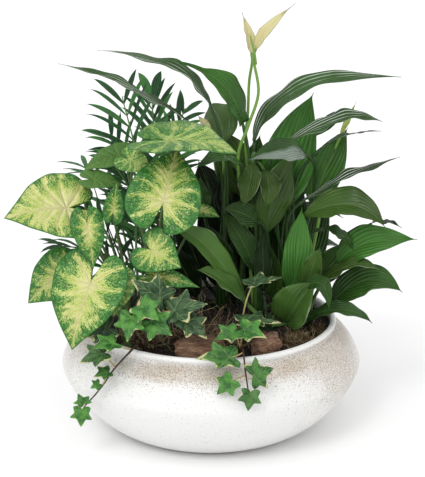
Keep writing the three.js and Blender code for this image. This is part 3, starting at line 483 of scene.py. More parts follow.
# Each tangle: middle, reach both ways, height and count of strands
ROOTS = [((-34, -60), (34, 13), 38, 130), ((8, -62), (22, 12), 30, 110), ((84, -46), (18, 24), 14, 110),
         ((-4, 40), (60, 40), 14, 60)]
ROOT_RADII = (0.45, 0.14)
ROOT_STEPS = 20
roots = Form()
for (x, y), (reach_x, reach_y), height, strands in ROOTS:
    for _ in range(strands):
        spot = np.array([x + reach_x * dice.uniform(-1, 1), y + reach_y * dice.uniform(-1, 1), 0.0])
        spot[:2] *= min(1, (MOUTH_RADIUS - 7.5) / math.hypot(spot[0], spot[1]))
        spot[2] = soil_height(spot[0], spot[1]) - 1
        heading = np.array([*dice.normal(size=2) * 0.6, dice.uniform(0.1, 1.4)])
        path = [spot]
        for _ in range(ROOT_STEPS):
            heading = heading + dice.normal(size=3) * 0.35 - (0, 0, 0.05 * (path[-1][2] - spot[2]) / height)
            path.append(path[-1] + unit(heading) * height * dice.uniform(0.03, 0.09))
        path = np.array(path)
        keep_on_soil(path[1:], 0.2, 3.5)
        tube(roots, path, np.linspace(*ROOT_RADII, len(path)), 4, marks=(0, dice.random(), 1))
root_skin = Finish("dry_root", Roughness=0.8)
rust = root_skin.read("marks")[1].ramp((0, (0.03, 0.018, 0.01)), (0.3, (0.16, 0.08, 0.04)),
                                       (0.55, (0.36, 0.27, 0.14)), (0.85, (0.5, 0.44, 0.26)),
                                       (1, (0.36, 0.4, 0.18)))
dirty = root_skin.blend(root_skin.noise(300, 3) * 0.7, rust, (0.05, 0.03, 0.02))
root_skin.paint(dirty, root_skin.noise(900), depth=0.0005, strength=0.6)
roots.piece("loose_roots", root_skin)


# Peace lily: glossy lance-shaped leaves on channelled stalks, rising in crowns from
# short stems in the soil. The blade is folded at a pale midrib, and fine side veins
# bow out of it towards the tip, with the skin quilted between them.
LILY_CROWN_RADIUS = 6.4
LILY_STALK_RADIUS = 1.6
LILY_SPREAD = 4.6
FLOWER_STALK_RADII = (1.6, 1.25)
BLADE_THICKNESS = 0.5


def corner_normals(points, faces):
    normals = np.zeros_like(points)
    for group in faces:
        first, second, third, last = (points[group[:, k]] for k in (0, 1, 2, -1))
        facing = np.cross(third - first, last - second)
        for k in range(group.shape[1]):
            np.add.at(normals, group[:, k], facing)
    return unit(normals)


def add_blade(form, points, faces, rim, leaf, tone, pale=0.0):
    """Thin two-sided blade: the same corners above and below, joined round the rim."""
    count = len(points)
    raised = 0.5 * BLADE_THICKNESS * corner_normals(points, faces)
    after = np.roll(rim, -1)
    under = [group[:, ::-1] + count for group in faces]
    edge = np.stack([after, rim, rim + count, after + count], axis=1)
    marks = np.zeros((2 * count, 3))
    marks[count:, 0] = 1
    marks[:, 1] = tone
    marks[:, 2] = np.tile(np.broadcast_to(pale, count), 2)
    form.add(np.concatenate([points + raised, points - raised]), [*faces, *under, edge],
             np.tile(leaf, (2, 1)), marks)


def bow(first, control, last, along):
    along = along[:, None]
    return (1 - along) ** 2 * first + 2 * along * (1 - along) * control + along ** 2 * last


def midrib(heel, middle, tip, along):
    """Places and directions along a curve through three points."""
    heel, middle, tip = np.array([heel, middle, tip], float)
    control = 2 * middle - 0.5 * heel - 0.5 * tip
    ahead = (1 - along[:, None]) * (control - heel) + along[:, None] * (tip - control)
    return bow(heel, control, tip, along), unit(ahead)


def blade_frame(ahead, face, turn):
    """Upward and sideways directions at each point of a rib, turned about it."""
    face = np.asarray(face, float)
    normal = unit(face - ahead * (ahead @ face)[:, None])
    side = np.cross(ahead, normal)
    turn = np.broadcast_to(turn, len(ahead))[:, None]
    normal = normal * np.cos(turn) + side * np.sin(turn)
    return normal, np.cross(ahead, normal)


def lance(along):
    return (along / 0.42) ** 0.8 * ((1 - along) / 0.58) ** 1.1


def rising(start, end, arrival, steps):
    """Stalk that leaves its crown upright and bends over into the blade."""
    rise = max(4, end[2] - start[2])
    first = start + np.array([0, 0, 0.5 * rise])
    last = end - arrival * 0.35 * np.linalg.norm(end - start)
    along = np.linspace(0, 1, steps)[:, None]
    return ((1 - along) ** 3 * start + 3 * along * (1 - along) ** 2 * first
            + 3 * along ** 2 * (1 - along) * last + along ** 3 * end)


def lily_blade(form, heel, middle, tip, width, face, tone, twist=0.0, fold=0.28, wave=1.6, rows=38,
               columns=13, body=0.97, tail=0.15):
    """Lance-shaped blade folded at its midrib; past its body it is drawn out to a tail."""
    along = np.linspace(0, 1, rows)
    place, ahead = midrib(heel, middle, tip, along)
    normal, side = blade_frame(ahead, face, twist * along)
    share = np.maximum(lance(np.minimum(along / body, 1)), tail * (1 - along) + 0.012)[:, None]
    half = 0.5 * width * share
    along = along[:, None]
    across = np.linspace(-1, 1, columns)[None]
    out = np.abs(across)
    ripple = wave * np.sin(11 * along + width)
    ripple = ripple + 0.55 * wave * np.sin(25 * along + 2.3 * width + 1.4 * np.sign(across)) * out
    lift = half * (1.45 * fold * out - 0.45 * fold * out ** 2) + ripple * share * out ** 1.4
    points = place[:, None] + side[:, None] * (across * half)[..., None] + normal[:, None] * lift[..., None]
    leaf = np.stack(np.broadcast_arrays(across, along, out), axis=-1).reshape(-1, 3)
    index = np.arange(rows * columns).reshape(rows, columns)
    rim = np.concatenate([index[0, :-1], index[:-1, -1], index[-1, :0:-1], index[:0:-1, 0]])
    add_blade(form, points.reshape(-1, 3), [grid_faces(rows, columns)], rim, leaf, tone)
    return place[0], ahead[0], normal[0]


def crown(form, foot, radius, ends, spread, sides, pale):
    """Short stem in the soil, and where stalks leave it: evenly round it, in the order of their headings."""
    top = soil_height(*foot) + 4
    base = [(*foot, top + up) for up in (-20, -8, -2, 1)]
    tube(form, base, radius - np.array([0.1, 0, 0.2, 1.9]), sides, marks=(0, 0.3, pale))
    heading = np.array([math.atan2(end[1] - foot[1], end[0] - foot[0]) for end in ends])
    order = np.argsort(heading, kind="stable")
    step = TURN / len(ends)
    turned_back = heading[order] - step * np.arange(len(ends))
    lean = math.atan2(np.sin(turned_back).sum(), np.cos(turned_back).sum())
    starts = np.zeros((len(ends), 3))
    for rank, i in enumerate(order):
        turn = lean + step * rank
        starts[i] = (foot[0] + spread * math.cos(turn), foot[1] + spread * math.sin(turn), top - 2)
    return starts


def rounded(points, along):
    """Smooth curve through points, at shares of the way along it."""
    points = np.asarray(points, float)
    ends = np.concatenate([[2 * points[0] - points[1]], points, [2 * points[-1] - points[-2]]])
    place = np.clip(along * (len(points) - 1), 0, len(points) - 1 - 1e-9)
    whole = place.astype(int)
    part = (place - whole)[:, None]
    before, first, second, beyond = (ends[whole + k] for k in range(4))
    gap_0, gap_1, gap_2 = (np.maximum(np.linalg.norm(b - a, axis=1, keepdims=True), 1e-6) ** 0.5
                           for a, b in ((before, first), (first, second), (second, beyond)))
    slope_1 = gap_1 * ((first - before) / gap_0 - (second - before) / (gap_0 + gap_1)) + second - first
    slope_2 = gap_1 * ((beyond - second) / gap_2 - (beyond - first) / (gap_1 + gap_2)) + second - first
    cubic = 2 * first - 2 * second + slope_1 + slope_2
    square = -3 * first + 3 * second - 2 * slope_1 - slope_2
    return first + slope_1 * part + square * part ** 2 + cubic * part ** 3


# Each crown: foot, leaves, and its flower stalks with the points on their way
# Each leaf: heel, middle and tip of the midrib, width, the way it faces, tone, and its twist if any. A leaf's
# tone is partly its own green and partly painted light and shade: leaves standing in shade are given darker
# tones, and some lit ones brighter tones
LILY = [
    ("lily_crown_left", (10, 24), [
        ((-1, 5, 305), (-35, 0, 339), (-102, -8, 357), 22, (0.2, -0.35, 0.9), 2.5, 0.3),
        ((-23, 14, 288), (-80, 6, 323), (-137, -4, 344), 13.5, (0.1, -0.25, 1), 2.5),
        ((12, 34, 262), (8, 50, 280), (-2, 76, 290), 34, (-0.2, -0.9, 0.5), 0.93),
        ((-6, 12, 201), (-8, 6, 219), (-10, 2, 238), 18, (-0.3, -1, 0.1), 0.45),
        ((21, 2, 154), (8, -2, 175), (-3, -4, 194), 16, (-0.4, -1, 0.2), 0.25),
        ((-6, 26, 130), (-20, 24, 165), (-36, 24, 198), 26, (0.2, -1, 0.2), 0.05),
        ((-14, 12, 118), (-26, 8, 148), (-40, 4, 176), 26, (0.1, -1, 0.2), 0.1),
    ], [("spathe_left", [(12, 26, 200), (10, 25, 258)])]),
    ("lily_crown_middle", (45, 12), [
        ((40, 18, 267), (81, 8, 318), (171, -5, 332), 26, (-0.25, -0.4, 0.85), 2.55),
        ((29, 15, 285), (7, 5, 326), (-36, -8, 348), 28, (0.5, -0.6, 0.6), 0.66, -0.4),
        ((29, 2, 246), (10, -10, 257), (-14, -24, 253), 26, (0, -0.2, 1), 0.62),
        ((52, 14, 181), (60, 13, 223), (77, 17, 258), 34, (0.3, -1, 0.1), 0.92),
        ((38, 4, 250), (35, -10, 233), (29, -18, 215), 21, (-0.3, -1, 0.2), 0.88),
        ((49, 8, 242), (53, -4, 229), (50, -11, 212), 21, (0.3, -1, 0.2), 0.88),
        ((43, 2, 195), (28, -10, 206), (11, -22, 215), 24, (0, -0.8, 0.6), 0.4),
        ((42, 6, 144), (27, 2, 179), (9, -2, 206), 23, (0.5, -0.8, 0.3), 0.45),
        ((59, 8, 116), (58, 6, 142), (55, 8, 172), 18, (0, -1, 0), 0.85),
    ], [("spathe_tall", [(34, 12, 180), (25, 12, 255), (34, 8, 284), (43, 4, 316)]),
        ("spathe_short", [(42, 28, 180), (32, 28, 262), (34, 28, 291), (35, 24, 322)])]),
    ("lily_crown_right", (80, 24), [
        ((63, 30, 196), (75, 28, 256), (95, 40, 308), 48, (-0.1, -1, 0.15), 0.75),
        ((95, 30, 203), (109, 30, 241), (128, 44, 274), 34, (-0.15, -1, 0.2), 0.66),
        ((70, 10, 267), (117, 4, 291), (155, -5, 291), 20, (0, -0.4, 1), 2.5),
        ((86, 2, 259), (63, -22, 268), (33, -44, 265), 25, (0.1, -0.75, 0.7), -0.5),
        ((102, 17, 261), (126, 18, 273), (157, 21, 276), 10, (0, 0.2, 1), -0.3),
        ((86, 12, 212), (127, 4, 237), (172, -8, 259), 15, (0, -0.3, 1), 2.4),
        ((98, 46, 266), (112, 52, 279), (122, 58, 286), 12, (-0.2, -1, 0.3), 0.5),
    ], [("spathe_right", [(100, 30, 180), (110, 36, 240)])]),
    ("lily_crown_front", (52, -22), [
        ((31, -8, 122), (-5, -30, 181), (-34, -34, 197), 27, (0.5, -0.7, 0.6), 0.985),
        ((34, -18, 119), (10, -36, 150), (-13, -48, 164), 24, (0.3, -0.5, 0.9), 0.97),
        ((70, -27, 106), (80, -37, 129), (95, -35, 149), 38, (-0.6, -1, 0.1), 0.98),
        ((84, -34, 143), (101, -43, 148), (107, -53, 126), 15, (0.1, -0.8, 0.5), 0.5),
        ((76, -8, 128), (79, -17, 172), (83, -14, 213), 29, (0.2, -1, 0), 0.74),
        ((49, -7, 130), (48, -7, 162), (48, -5, 190), 18, (0.1, -1, 0), 0.15),
    ], []),
    ("lily_crown_low_right", (88, -6), [
        ((86, -4, 202), (127, -16, 216), (158, -32, 199), 34, (0, -0.6, 0.8), 0.9),
        ((118, -4, 157), (144, -14, 179), (188, -26, 186), 34, (-0.3, -0.75, 0.7), 0.7),
        ((93, -14, 135), (127, -24, 160), (153, -36, 160), 20, (0, -0.35, 1), 0.9),
        ((111, -4, 116), (145, -14, 143), (176, -26, 135), 32, (0, -0.7, 0.7), 0.55),
        ((83, -25, 107), (119, -35, 121), (147, -48, 113), 22, (0, -0.3, 1), 0.5),
        ((87, -20, 134), (93, -27, 160), (100, -24, 178), 19, (-0.2, -1, 0.1), 0.85),
        ((97, 4, 133), (115, 0, 157), (134, -6, 178), 26, (0, -0.8, 0.5), 0.45),
        ((104, 0, 188), (120, -7, 185), (131, -12, 171), 12, (0, -0.4, 0.9), 0.5),
        ((150, 18, 188), (162, 14, 191), (178, 10, 186), 12, (0, 0, 1), 0.2),
    ], []),
]

# The crowns at the back fan away from the others by a rule: foot, first heading, heights of the
# fanned leaves, tone of the upright ones, and these with heel, middle, tip and width
LILY_BACK = [
    ("lily_crown_back_left", (22, 62), 0.8, (206, 160, 222), 0.1, [
        ((8, 54, 112), (1, 50, 168), (-5, 52, 236), 30),
        ((20, 50, 110), (15, 46, 180), (14, 46, 262), 34),
        ((30, 52, 110), (34, 46, 175), (38, 46, 256), 30),
    ]),
    ("lily_crown_back_right", (68, 56), -0.1, (190, 150, 206), 0.5, [
        ((60, 56, 112), (60, 55, 175), (64, 55, 248), 30),
        ((74, 50, 110), (79, 49, 165), (84, 54, 232), 32),
        ((84, 54, 112), (98, 54, 165), (110, 58, 218), 30),
    ]),
]
for name, foot, first, heights, tone, upright in LILY_BACK:
    leaves = []
    for order, height in enumerate(heights):
        reach, width = 46 + 9 * math.sin(order * 2.3 + first), 32 + 4 * math.cos(order * 1.7)
        east, north = math.cos(first + 0.42 * order), math.sin(first + 0.42 * order)
        heel, middle, tip = ((foot[0] + out * reach * east, foot[1] + out * reach * north, up)
                             for out, up in ((0.3, height - 0.3 * reach), (0.7, height), (1.3, height - 6)))
        leaves.append((heel, middle, tip, width, (0.35 * east, 0.35 * north, 0.9), 0.3 + 0.1 * order))
    LILY.append((name, foot, leaves + [(*leaf, (0, -1, 0), tone) for leaf in upright], []))
# An inner crown fills the middle. Three of its broad leaves have near-black tones: painted shade, standing
# for the deep shade among the crowns
LILY.append(("lily_crown_inner", (26, 42), [
    ((30, 36, 210), (20, 40, 244), (2, 44, 274), 40, (0.1, -1, 0.2), 0.87),
    ((36, 34, 205), (40, 38, 236), (46, 42, 268), 30, (-0.1, -1, 0.1), 0.5),
    ((12, 36, 176), (0, 38, 212), (-12, 38, 244), 42, (0.1, -1, 0.1), 0.06),
    ((24, 36, 178), (22, 38, 210), (16, 38, 242), 42, (0, -1, 0), 0.04),
    ((42, 34, 178), (44, 36, 206), (42, 36, 236), 38, (0, -1, 0), 0.08),
], []))

# Spathes of the flowers: heel, middle and tip, width, the way each faces
SPATHES = {
    "spathe_tall": ((40, -1, 356), (52, -2, 376), (75, -2, 398), 10.5, (-0.5, -0.8, 0.2)),
    "spathe_short": ((36.5, 13, 350), (33, 11, 369), (28, 9, 388), 9.5, (0.6, -0.8, 0)),
    "spathe_right": ((120, 34, 267), (128, 32, 286), (134, 30, 302), 5.5, (-0.6, -0.8, 0)),
    "spathe_left": ((0, 24, 274.5), (-7, 24, 283), (-12, 22, 291), 8, (0.5, -0.8, 0)),
}

lily = Finish("lily_leaf", Roughness=0.2, Specular_IOR_Level=0.22)
across, along, edge, under, tone, pale = lily.read("leaf", "marks")
# A tone over 2 marks a leaf with painted highlights: silver lines painted along its veins, where they would
# catch the light
glinting = tone > 1.5
tone = tone - glinting * 2
cloudy = lily.noise(32, 3)
wander = edge * 1.4 - along + lily.noise(60, 1) * 0.14
ribs = wander.waves(3.4)
fine_ribs = wander.waves(10.7)
smooth = tone.ramp((0.8, 1), (0.87, 0.5), (0.97, 0.3))
# Greens by tone. Besides the leaves' own greens this paints light and shade: the lowest tones, near black,
# stand for leaves deep in shade
green = abs(tone).ramp((0, (0.0015, 0.004, 0.0025)), (0.2, (0.01, 0.028, 0.007)),
                       (0.4, (0.03, 0.075, 0.015)), (0.6, (0.045, 0.135, 0.022)),
                       (0.78, (0.07, 0.24, 0.035)), (0.86, (0.043, 0.092, 0.009)),
                       (0.94, (0.05, 0.11, 0.02)), (1, (0.1, 0.22, 0.04)))
# Painted light and shade: a darker copy of each leaf's green is laid in broad patches, so that some leaves
# and parts of leaves look shaded and others lit
painted_shade_green = lily.blend(0.6, green, (0.004, 0.007, 0.002))
skin = lily.blend(cloudy * 1.9 + lily.noise(13, 1) * 2.2 - 1.4, painted_shade_green, green)
# Painted shade: narrow dark lines between the ribs stand for the shade in the grooves of the quilted skin
painted_groove_shade = (ribs * 0.5 + 0.5) ** 5 * smooth * cloudy.ramp((0.35, 0.3), (0.62, 0.85))
skin = lily.blend(painted_groove_shade, skin, painted_shade_green)
# A faint painted highlight along the fine ribs
skin = lily.blend(fine_ribs * 0.03 + 0.03, skin, (0.12, 0.24, 0.07))
vein = edge.between(0.02, 0.08, 1, 0)
skin = lily.blend(vein * 0.45, skin, lily.blend(0.6, green, (0.16, 0.24, 0.09)))
skin = lily.blend(under, skin, lily.blend(vein * 0.5 + 0.2, (0.045, 0.09, 0.03), (0.16, 0.24, 0.1)))
# Painted highlights: pale silver lines along the veins, in patches
painted_glint_mask = (lily.noise(30) - across * 0.22).ramp((0.4, 0.08), (0.66, 0.9))
lines = (wander.waves(2.3) * 0.5 + 0.5) ** 8 * painted_glint_mask * glinting
skin = lily.blend(lines, skin, (0.8, 0.86, 0.8))
# Leaves with a tone under nought get a painted reflection: a silver sheen painted over part of the blade,
# with brown scars in it
painted_sheen_mask = tone.between(0, -0.4) * ((cloudy - across) * 0.5).ramp((0.1, 0), (0.24, 1))
painted_sheen = lily.blend(ribs * 0.3 + 0.5, (0.12, 0.17, 0.13), (0.31, 0.37, 0.31))
scars = lily.noise(260).ramp((0.62, 0), (0.7, 0.7))
skin = lily.blend(painted_sheen_mask, skin, lily.blend(scars, painted_sheen, (0.1, 0.08, 0.05)))
rim_light = edge.between(0.93, 1) * lily.noise(24, 1).ramp((0.53, 0), (0.66, 0.5))
skin = lily.blend(rim_light * tone.ramp((0.3, 0), (0.5, 1)), skin, (0.42, 0.52, 0.36))
stem_green = (abs(tone) * 0.75).ramp((0, (0.003, 0.01, 0.004)), (0.35, (0.016, 0.045, 0.012)),
                                     (0.7, (0.06, 0.13, 0.03)), (0.94, (0.17, 0.33, 0.06)))
relief = smooth * (fine_ribs * 0.12 + ribs) - vein * 0.8
lily.paint(lily.blend(pale, skin, stem_green), relief, depth=0.0006, strength=0.6)

for name, foot, leaves, scapes in LILY:
    form = Form()
    heads = [leaf[0] for leaf in leaves] + [points[0] for _, points in scapes]
    starts = crown(form, foot, LILY_CROWN_RADIUS, heads, LILY_SPREAD, 14, 0.9)
    for start, (heel, middle, tip, width, face, tone, *twist) in zip(starts, leaves):
        # Leaves with painted silver highlight lines are wavy, one leaf is curled over to a long tail, and one
        # is folded double
        wavy, curled = tone > 1.5, (name, width) == ("lily_crown_middle", 28)
        doubled = (name, width) == ("lily_crown_front", 38)
        end, arrival, normal = lily_blade(form, heel, middle, tip, width, face, tone, *twist,
                                          fold=0.75 if doubled else 0.28, wave=2.3 if wavy or curled else 1.6,
                                          body=0.74 if curled else 0.97, tail=0.55 if curled else 0.15)
        share = np.linspace(0, 1, 22)
        radius = LILY_STALK_RADIUS * (1.25 - 0.35 * share + 0.25 * hump(share, 0.93, 0.05))
        # A stalk takes its leaf's tone, painted shade included
        stalk_tone = 0.5 if wavy or tone < 0 else tone
        tube(form, rising(start, end, arrival, 22), radius, 8, normal, (0, stalk_tone, 0.85), flat=0.85)
    for start, (flower, points) in zip(starts[len(leaves):], scapes):
        (place,), (ahead,) = midrib(*SPATHES[flower][:3], np.zeros(1))
        path = rounded([start, *points, place - 6 * ahead, place - 0.35 * ahead], np.linspace(0, 1, 48))
        tube(form, path, np.linspace(*FLOWER_STALK_RADII, 48), 10, marks=(0, 1.25, 1))
    form.piece(name, lily, None if name == "lily_crown_inner" else name.replace("crown_", ""))


# Peace lily flowers: a cream spathe still rolled at its base, drawn out to a green-grey
# tip, stands on each flower stalk. The tall one has opened, and its slim green spadix
# stands beside it.
cream = Finish("spathe_cream", Roughness=0.45, Subsurface_Weight=0.15)
_, along, edge, _, tone, _ = cream.read("leaf", "marks")
lines = (edge * 22 - along * 9).maths("SINE")
tint = along.ramp((0, (0.3, 0.4, 0.12)), (0.1, (0.62, 0.55, 0.26)), (0.74, (0.66, 0.6, 0.3)),
                  (0.88, (0.3, 0.3, 0.18)), (0.96, (0.03, 0.035, 0.03)))
tint = cream.blend(lines.ramp((0.3, 0), (0.9, 0.6)), tint, (0.32, 0.26, 0.09))
tint = cream.blend(edge.between(0.86, 1, 0, 0.85), tint, (0.16, 0.18, 0.09))
# A bud, with a tone of 1, is still yellow-green, and the spadix, with a tone of 2, is green
tint = cream.blend(tone.ramp((0.6, 0), (1, 0.85)), tint, (0.3, 0.45, 0.08))
cream.paint(cream.blend(tone > 1.5, tint, (0.12, 0.28, 0.05)), lines, depth=0.0001, strength=0.5)
for solid, spathe in SPATHES.items():
    form = Form()
    tone = 1 if solid == "spathe_right" else 0.5
    lily_blade(form, *spathe, tone, fold=0.5, wave=1, rows=34, body=0.9, tail=0.3)
    if solid == "spathe_tall":
        share = np.linspace(0, 1, 14)
        spadix = rounded([(40.5, -1.5, 343), (38.8, -4, 354), (34.8, -5, 370)], share)
        tube(form, spadix, 1.2 - 0.5 * share ** 3, 8, marks=(0, 2, 0))
    form.piece(solid.replace("spathe", "flower"), cream, solid)


# Arrowhead plant: broad blades with two rounded lobes behind the stalk. The middle of
# each blade and its veins are cream, and the green margin breaks up into flecks.
ARROWHEAD_CROWN_RADIUS = 5.9
ARROWHEAD_STALK_RADIUS = 1.3
ARROWHEAD_SPREAD = 3.6
# Last mark of a stalk, where that of a blade is its distance to the nearest vein
STALK = 9
# Half of the outline and the veins of one half, from the stalk joint at nought to the tip at one
ARROW_HALF = [(1, 0), (0.9, 0.09), (0.78, 0.2), (0.64, 0.33), (0.5, 0.45), (0.35, 0.54), (0.2, 0.6),
              (0.05, 0.635), (-0.1, 0.64), (-0.26, 0.6), (-0.38, 0.5), (-0.47, 0.38), (-0.5, 0.24),
              (-0.44, 0.13), (-0.3, 0.08), (-0.09, 0.022)]
ARROW_VEINS = [
    [(0, 0), (1, 0)],
    [(0, 0), (-0.16, 0.16), (-0.3, 0.33), (-0.36, 0.46)],
    [(0, 0), (0.02, 0.24), (0.0, 0.45), (-0.06, 0.6)],
    [(0.04, 0), (0.17, 0.2), (0.25, 0.38), (0.24, 0.58)],
    [(0.2, 0), (0.35, 0.16), (0.45, 0.32), (0.47, 0.46)],
    [(0.29, 0), (0.44, 0.14), (0.54, 0.28), (0.57, 0.39)],
    [(0.38, 0), (0.52, 0.12), (0.62, 0.24), (0.65, 0.32)],
    [(0.56, 0), (0.68, 0.08), (0.77, 0.15), (0.8, 0.18)],
    [(0.7, 0), (0.8, 0.06), (0.87, 0.1)],
]


def nearest_vein(places, veins):
    """Distance of flat leaf places to the nearest vein, its number, and how far along it they lie."""
    flat = np.stack([places[:, 0], np.abs(places[:, 1])], axis=1)
    nearest, number, run = np.full(len(flat), 9.0), np.zeros(len(flat)), np.zeros(len(flat))
    for order, vein in enumerate(veins):
        passed = 0.0
        for start, end in zip(np.array(vein[:-1], float), np.array(vein[1:], float)):
            span = end - start
            long = np.linalg.norm(span)
            share = np.clip((flat - start) @ span / long ** 2, 0, 1)
            distance = np.linalg.norm(flat - start - share[:, None] * span, axis=1)
            closer = distance < nearest
            nearest = np.where(closer, distance, nearest)
            number = np.where(closer, order, number)
            run = np.where(closer, passed + share * long, run)
            passed += long
    return nearest, number, run


def fan(half, rings):
    """Flat blade as rings round its stalk joint: places, how far out each lies, faces and rim."""
    smooth = rounded(half, np.linspace(0, 1, 5 * (len(half) - 1) + 1))
    outline = np.concatenate([smooth, (smooth * (1, -1))[:0:-1]])
    share = np.linspace(0, 1, rings + 1)[1:] ** 0.85
    ring = np.arange(len(outline))
    places = np.concatenate([[(0, 0)], *(outline * reach for reach in share)])
    out = np.concatenate([[0], np.repeat(share, len(ring))])
    middle = np.stack([0 * ring, 1 + ring, 1 + np.roll(ring, -1)], axis=1)
    squares = grid_faces(rings, len(ring), wrap=True)[:, [0, 3, 2, 1]] + 1
    return places, out, [middle, squares], ring + 1 + (rings - 1) * len(ring)


def broad_blade(form, shape, veins, leaf, fold, arch, ripple):
    """Lobed blade laid out from its stalk joint to its tip, quilted between the veins."""
    places, out, faces, rim = shape
    joint, tip, face, breadth, tone = leaf
    joint, tip, face = np.array([joint, tip, face], float)
    length = np.linalg.norm(tip - joint)
    ahead = (tip - joint) / length
    normal = unit(face - ahead * ahead.dot(face))
    side = np.cross(ahead, normal)
    a, b = places[:, 0], places[:, 1]
    near, number, run = nearest_vein(places, veins)
    folding = fold * breadth * (np.sqrt(b ** 2 + 0.0008) - 0.028)
    arching = np.where(a > 0, arch * a * (1 - a), 0.5 * arch * a)
    quilt = 0.02 * (1 - np.exp(-(near / 0.035) ** 2)) * (1 - out ** 4)
    edge_wave = ripple * np.sin(9 * np.arctan2(b, a) + length) * out ** 3 - 0.0264 * out ** 5
    lift = folding + arching + quilt + edge_wave
    points = joint + length * (a[:, None] * ahead - (b * breadth)[:, None] * side + lift[:, None] * normal)
    leaf_rows = np.stack([7 * number + 3 * (b > 0), run, out], axis=1)
    add_blade(form, points, faces, rim, leaf_rows, tone, near)
    return joint, ahead, normal, length


# Each leaf: stalk joint, tip, the way it faces, breadth, and tone, which tells how far its cream spreads
ARROWHEAD = [
    ("arrowhead_plant_left", (-78, -30), [
        ((-130, -35, 218), (-184, -55, 215), (-0.1, -0.7, 0.75), 1, 0.84),
        ((-110, -55, 207), (-104, -75, 174), (0.2, -0.9, 0.4), 0.6, 0.5),
        ((-87, -48, 220), (-84, -42, 244), (0, -1, 0.2), 0.6, 0.45),
        ((-106, -18, 240), (-80, -16, 234), (-0.1, -0.5, 0.9), 0.7, -1),
    ]),
    ("arrowhead_plant_front", (-76, -60), [
        ((-107, -76, 160), (-124, -93, 104), (-0.3, -0.9, 0.3), 0.88, 0.65),
        ((-135, -42, 159), (-166, -50, 133), (-0.3, -0.9, 0.4), 0.9, 0.55),
        ((-85, -73, 160), (-86, -84, 132), (-0.1, -0.9, 0.3), 1, 0.15),
    ]),
    ("arrowhead_plant_middle", (-48, -50), [
        ((-42, -60, 231), (-30, -24, 271), (0, -0.9, 0.45), 0.95, 0.6),
        ((-52, -72, 190), (-26, -88, 179), (0.1, -0.95, 0.35), 1, 0.55),
        ((-49, -70, 165), (-10, -79, 158), (0, -0.7, 0.7), 0.4, 0.4),
    ]),
    ("arrowhead_plant_upper", (-50, -14), [
        ((-38, -38, 281), (24, -50, 273), (0, -0.12, 1), 1, 0.24),
        ((-73, -30, 262), (-52, -42, 254), (0, -0.8, 0.6), 0.8, 0.1),
        ((-84, 2, 258), (-116, -10, 247), (-0.1, -0.6, 0.8), 0.6, -1),
        ((-10, -12, 209), (8, -22, 206), (0, -0.5, 0.9), 0.7, 0.5),
    ]),
]

arrow = Finish("arrowhead_leaf", Roughness=0.36, Specular_IOR_Level=0.28)
by_vein, run, edge, under, tone, near = arrow.read("leaf", "marks")
# Dashes drawn out along the nearest vein
drawn = arrow.node("CombineXYZ", "Vector", X=near * 62, Y=run * 11, Z=tone * 31 + by_vein)
dashes = arrow.noise(1, 4, drawn, 0.75)
patches = arrow.noise(75)
# Cream gathers in the middle of the blade and along every vein, and breaks up in flecks
on_vein = near.between(0, 0.065, 0.3, -0.24)
on_midrib = near.between(0, 0.05, 0.35, 0) * (by_vein < 5)
creamy = tone * 1.35 - edge * 1.2 + 0.1 + on_vein + on_midrib
# Leaves with a tone under 0.3 are green all over, with a fine light net
netted = tone.ramp((0.26, 1), (0.34, 0))
creamy = creamy + (on_vein + 0.1 - creamy) * netted
for grain, weight in ((arrow.noise(950, 3, roughness=0.7), 2.3), (dashes, 2.9), (patches, 0.7)):
    creamy = creamy + (grain - 0.5) * weight
green = arrow.noise(420, 3).ramp((0.3, (0.012, 0.08, 0.012)), (0.5, (0.028, 0.15, 0.022)),
                                 (0.7, (0.09, 0.27, 0.05)))
lime = arrow.blend(patches, (0.24, 0.43, 0.09), (0.36, 0.5, 0.15))
light = arrow.blend(patches.ramp((0.35, 0), (0.65, 1)), (0.44, 0.53, 0.1), (0.58, 0.6, 0.2))
light = arrow.blend(creamy.ramp((0.5, 0), (1, 0.8)), light, (0.7, 0.67, 0.36))
skin = arrow.blend(creamy.ramp((0, 0), (0.08, 0.6), (0.2, 1)), green, lime)
skin = arrow.blend(creamy.ramp((0.18, 0), (0.3, 1)) * (netted * -0.6 + 1), skin, light)
main_vein = near.between(0.003, 0.012, 1, 0)
skin = arrow.blend(main_vein * 0.4, skin, (0.52, 0.45, 0.24))
skin = arrow.blend(edge.between(0.955, 0.985, 0, 0.85), skin, (0.03, 0.15, 0.025))
# Young leaves, with a tone under nought, are plain green with a lime midrib
young = arrow.blend(dashes, (0.025, 0.1, 0.015), (0.12, 0.25, 0.05))
skin = arrow.blend(tone < 0, skin, arrow.blend(main_vein, young, (0.28, 0.42, 0.1)))
skin = arrow.blend(under, skin, arrow.blend(main_vein, (0.16, 0.27, 0.09), (0.32, 0.4, 0.18)))
stalk_green = arrow.blend(run, (0.1, 0.12, 0.045), (0.1, 0.2, 0.05))
arrow.paint(arrow.blend(near.between(5, 6), skin, stalk_green), dashes - on_vein * 1.6 - main_vein * 1.2,
            depth=0.0006, strength=0.6)

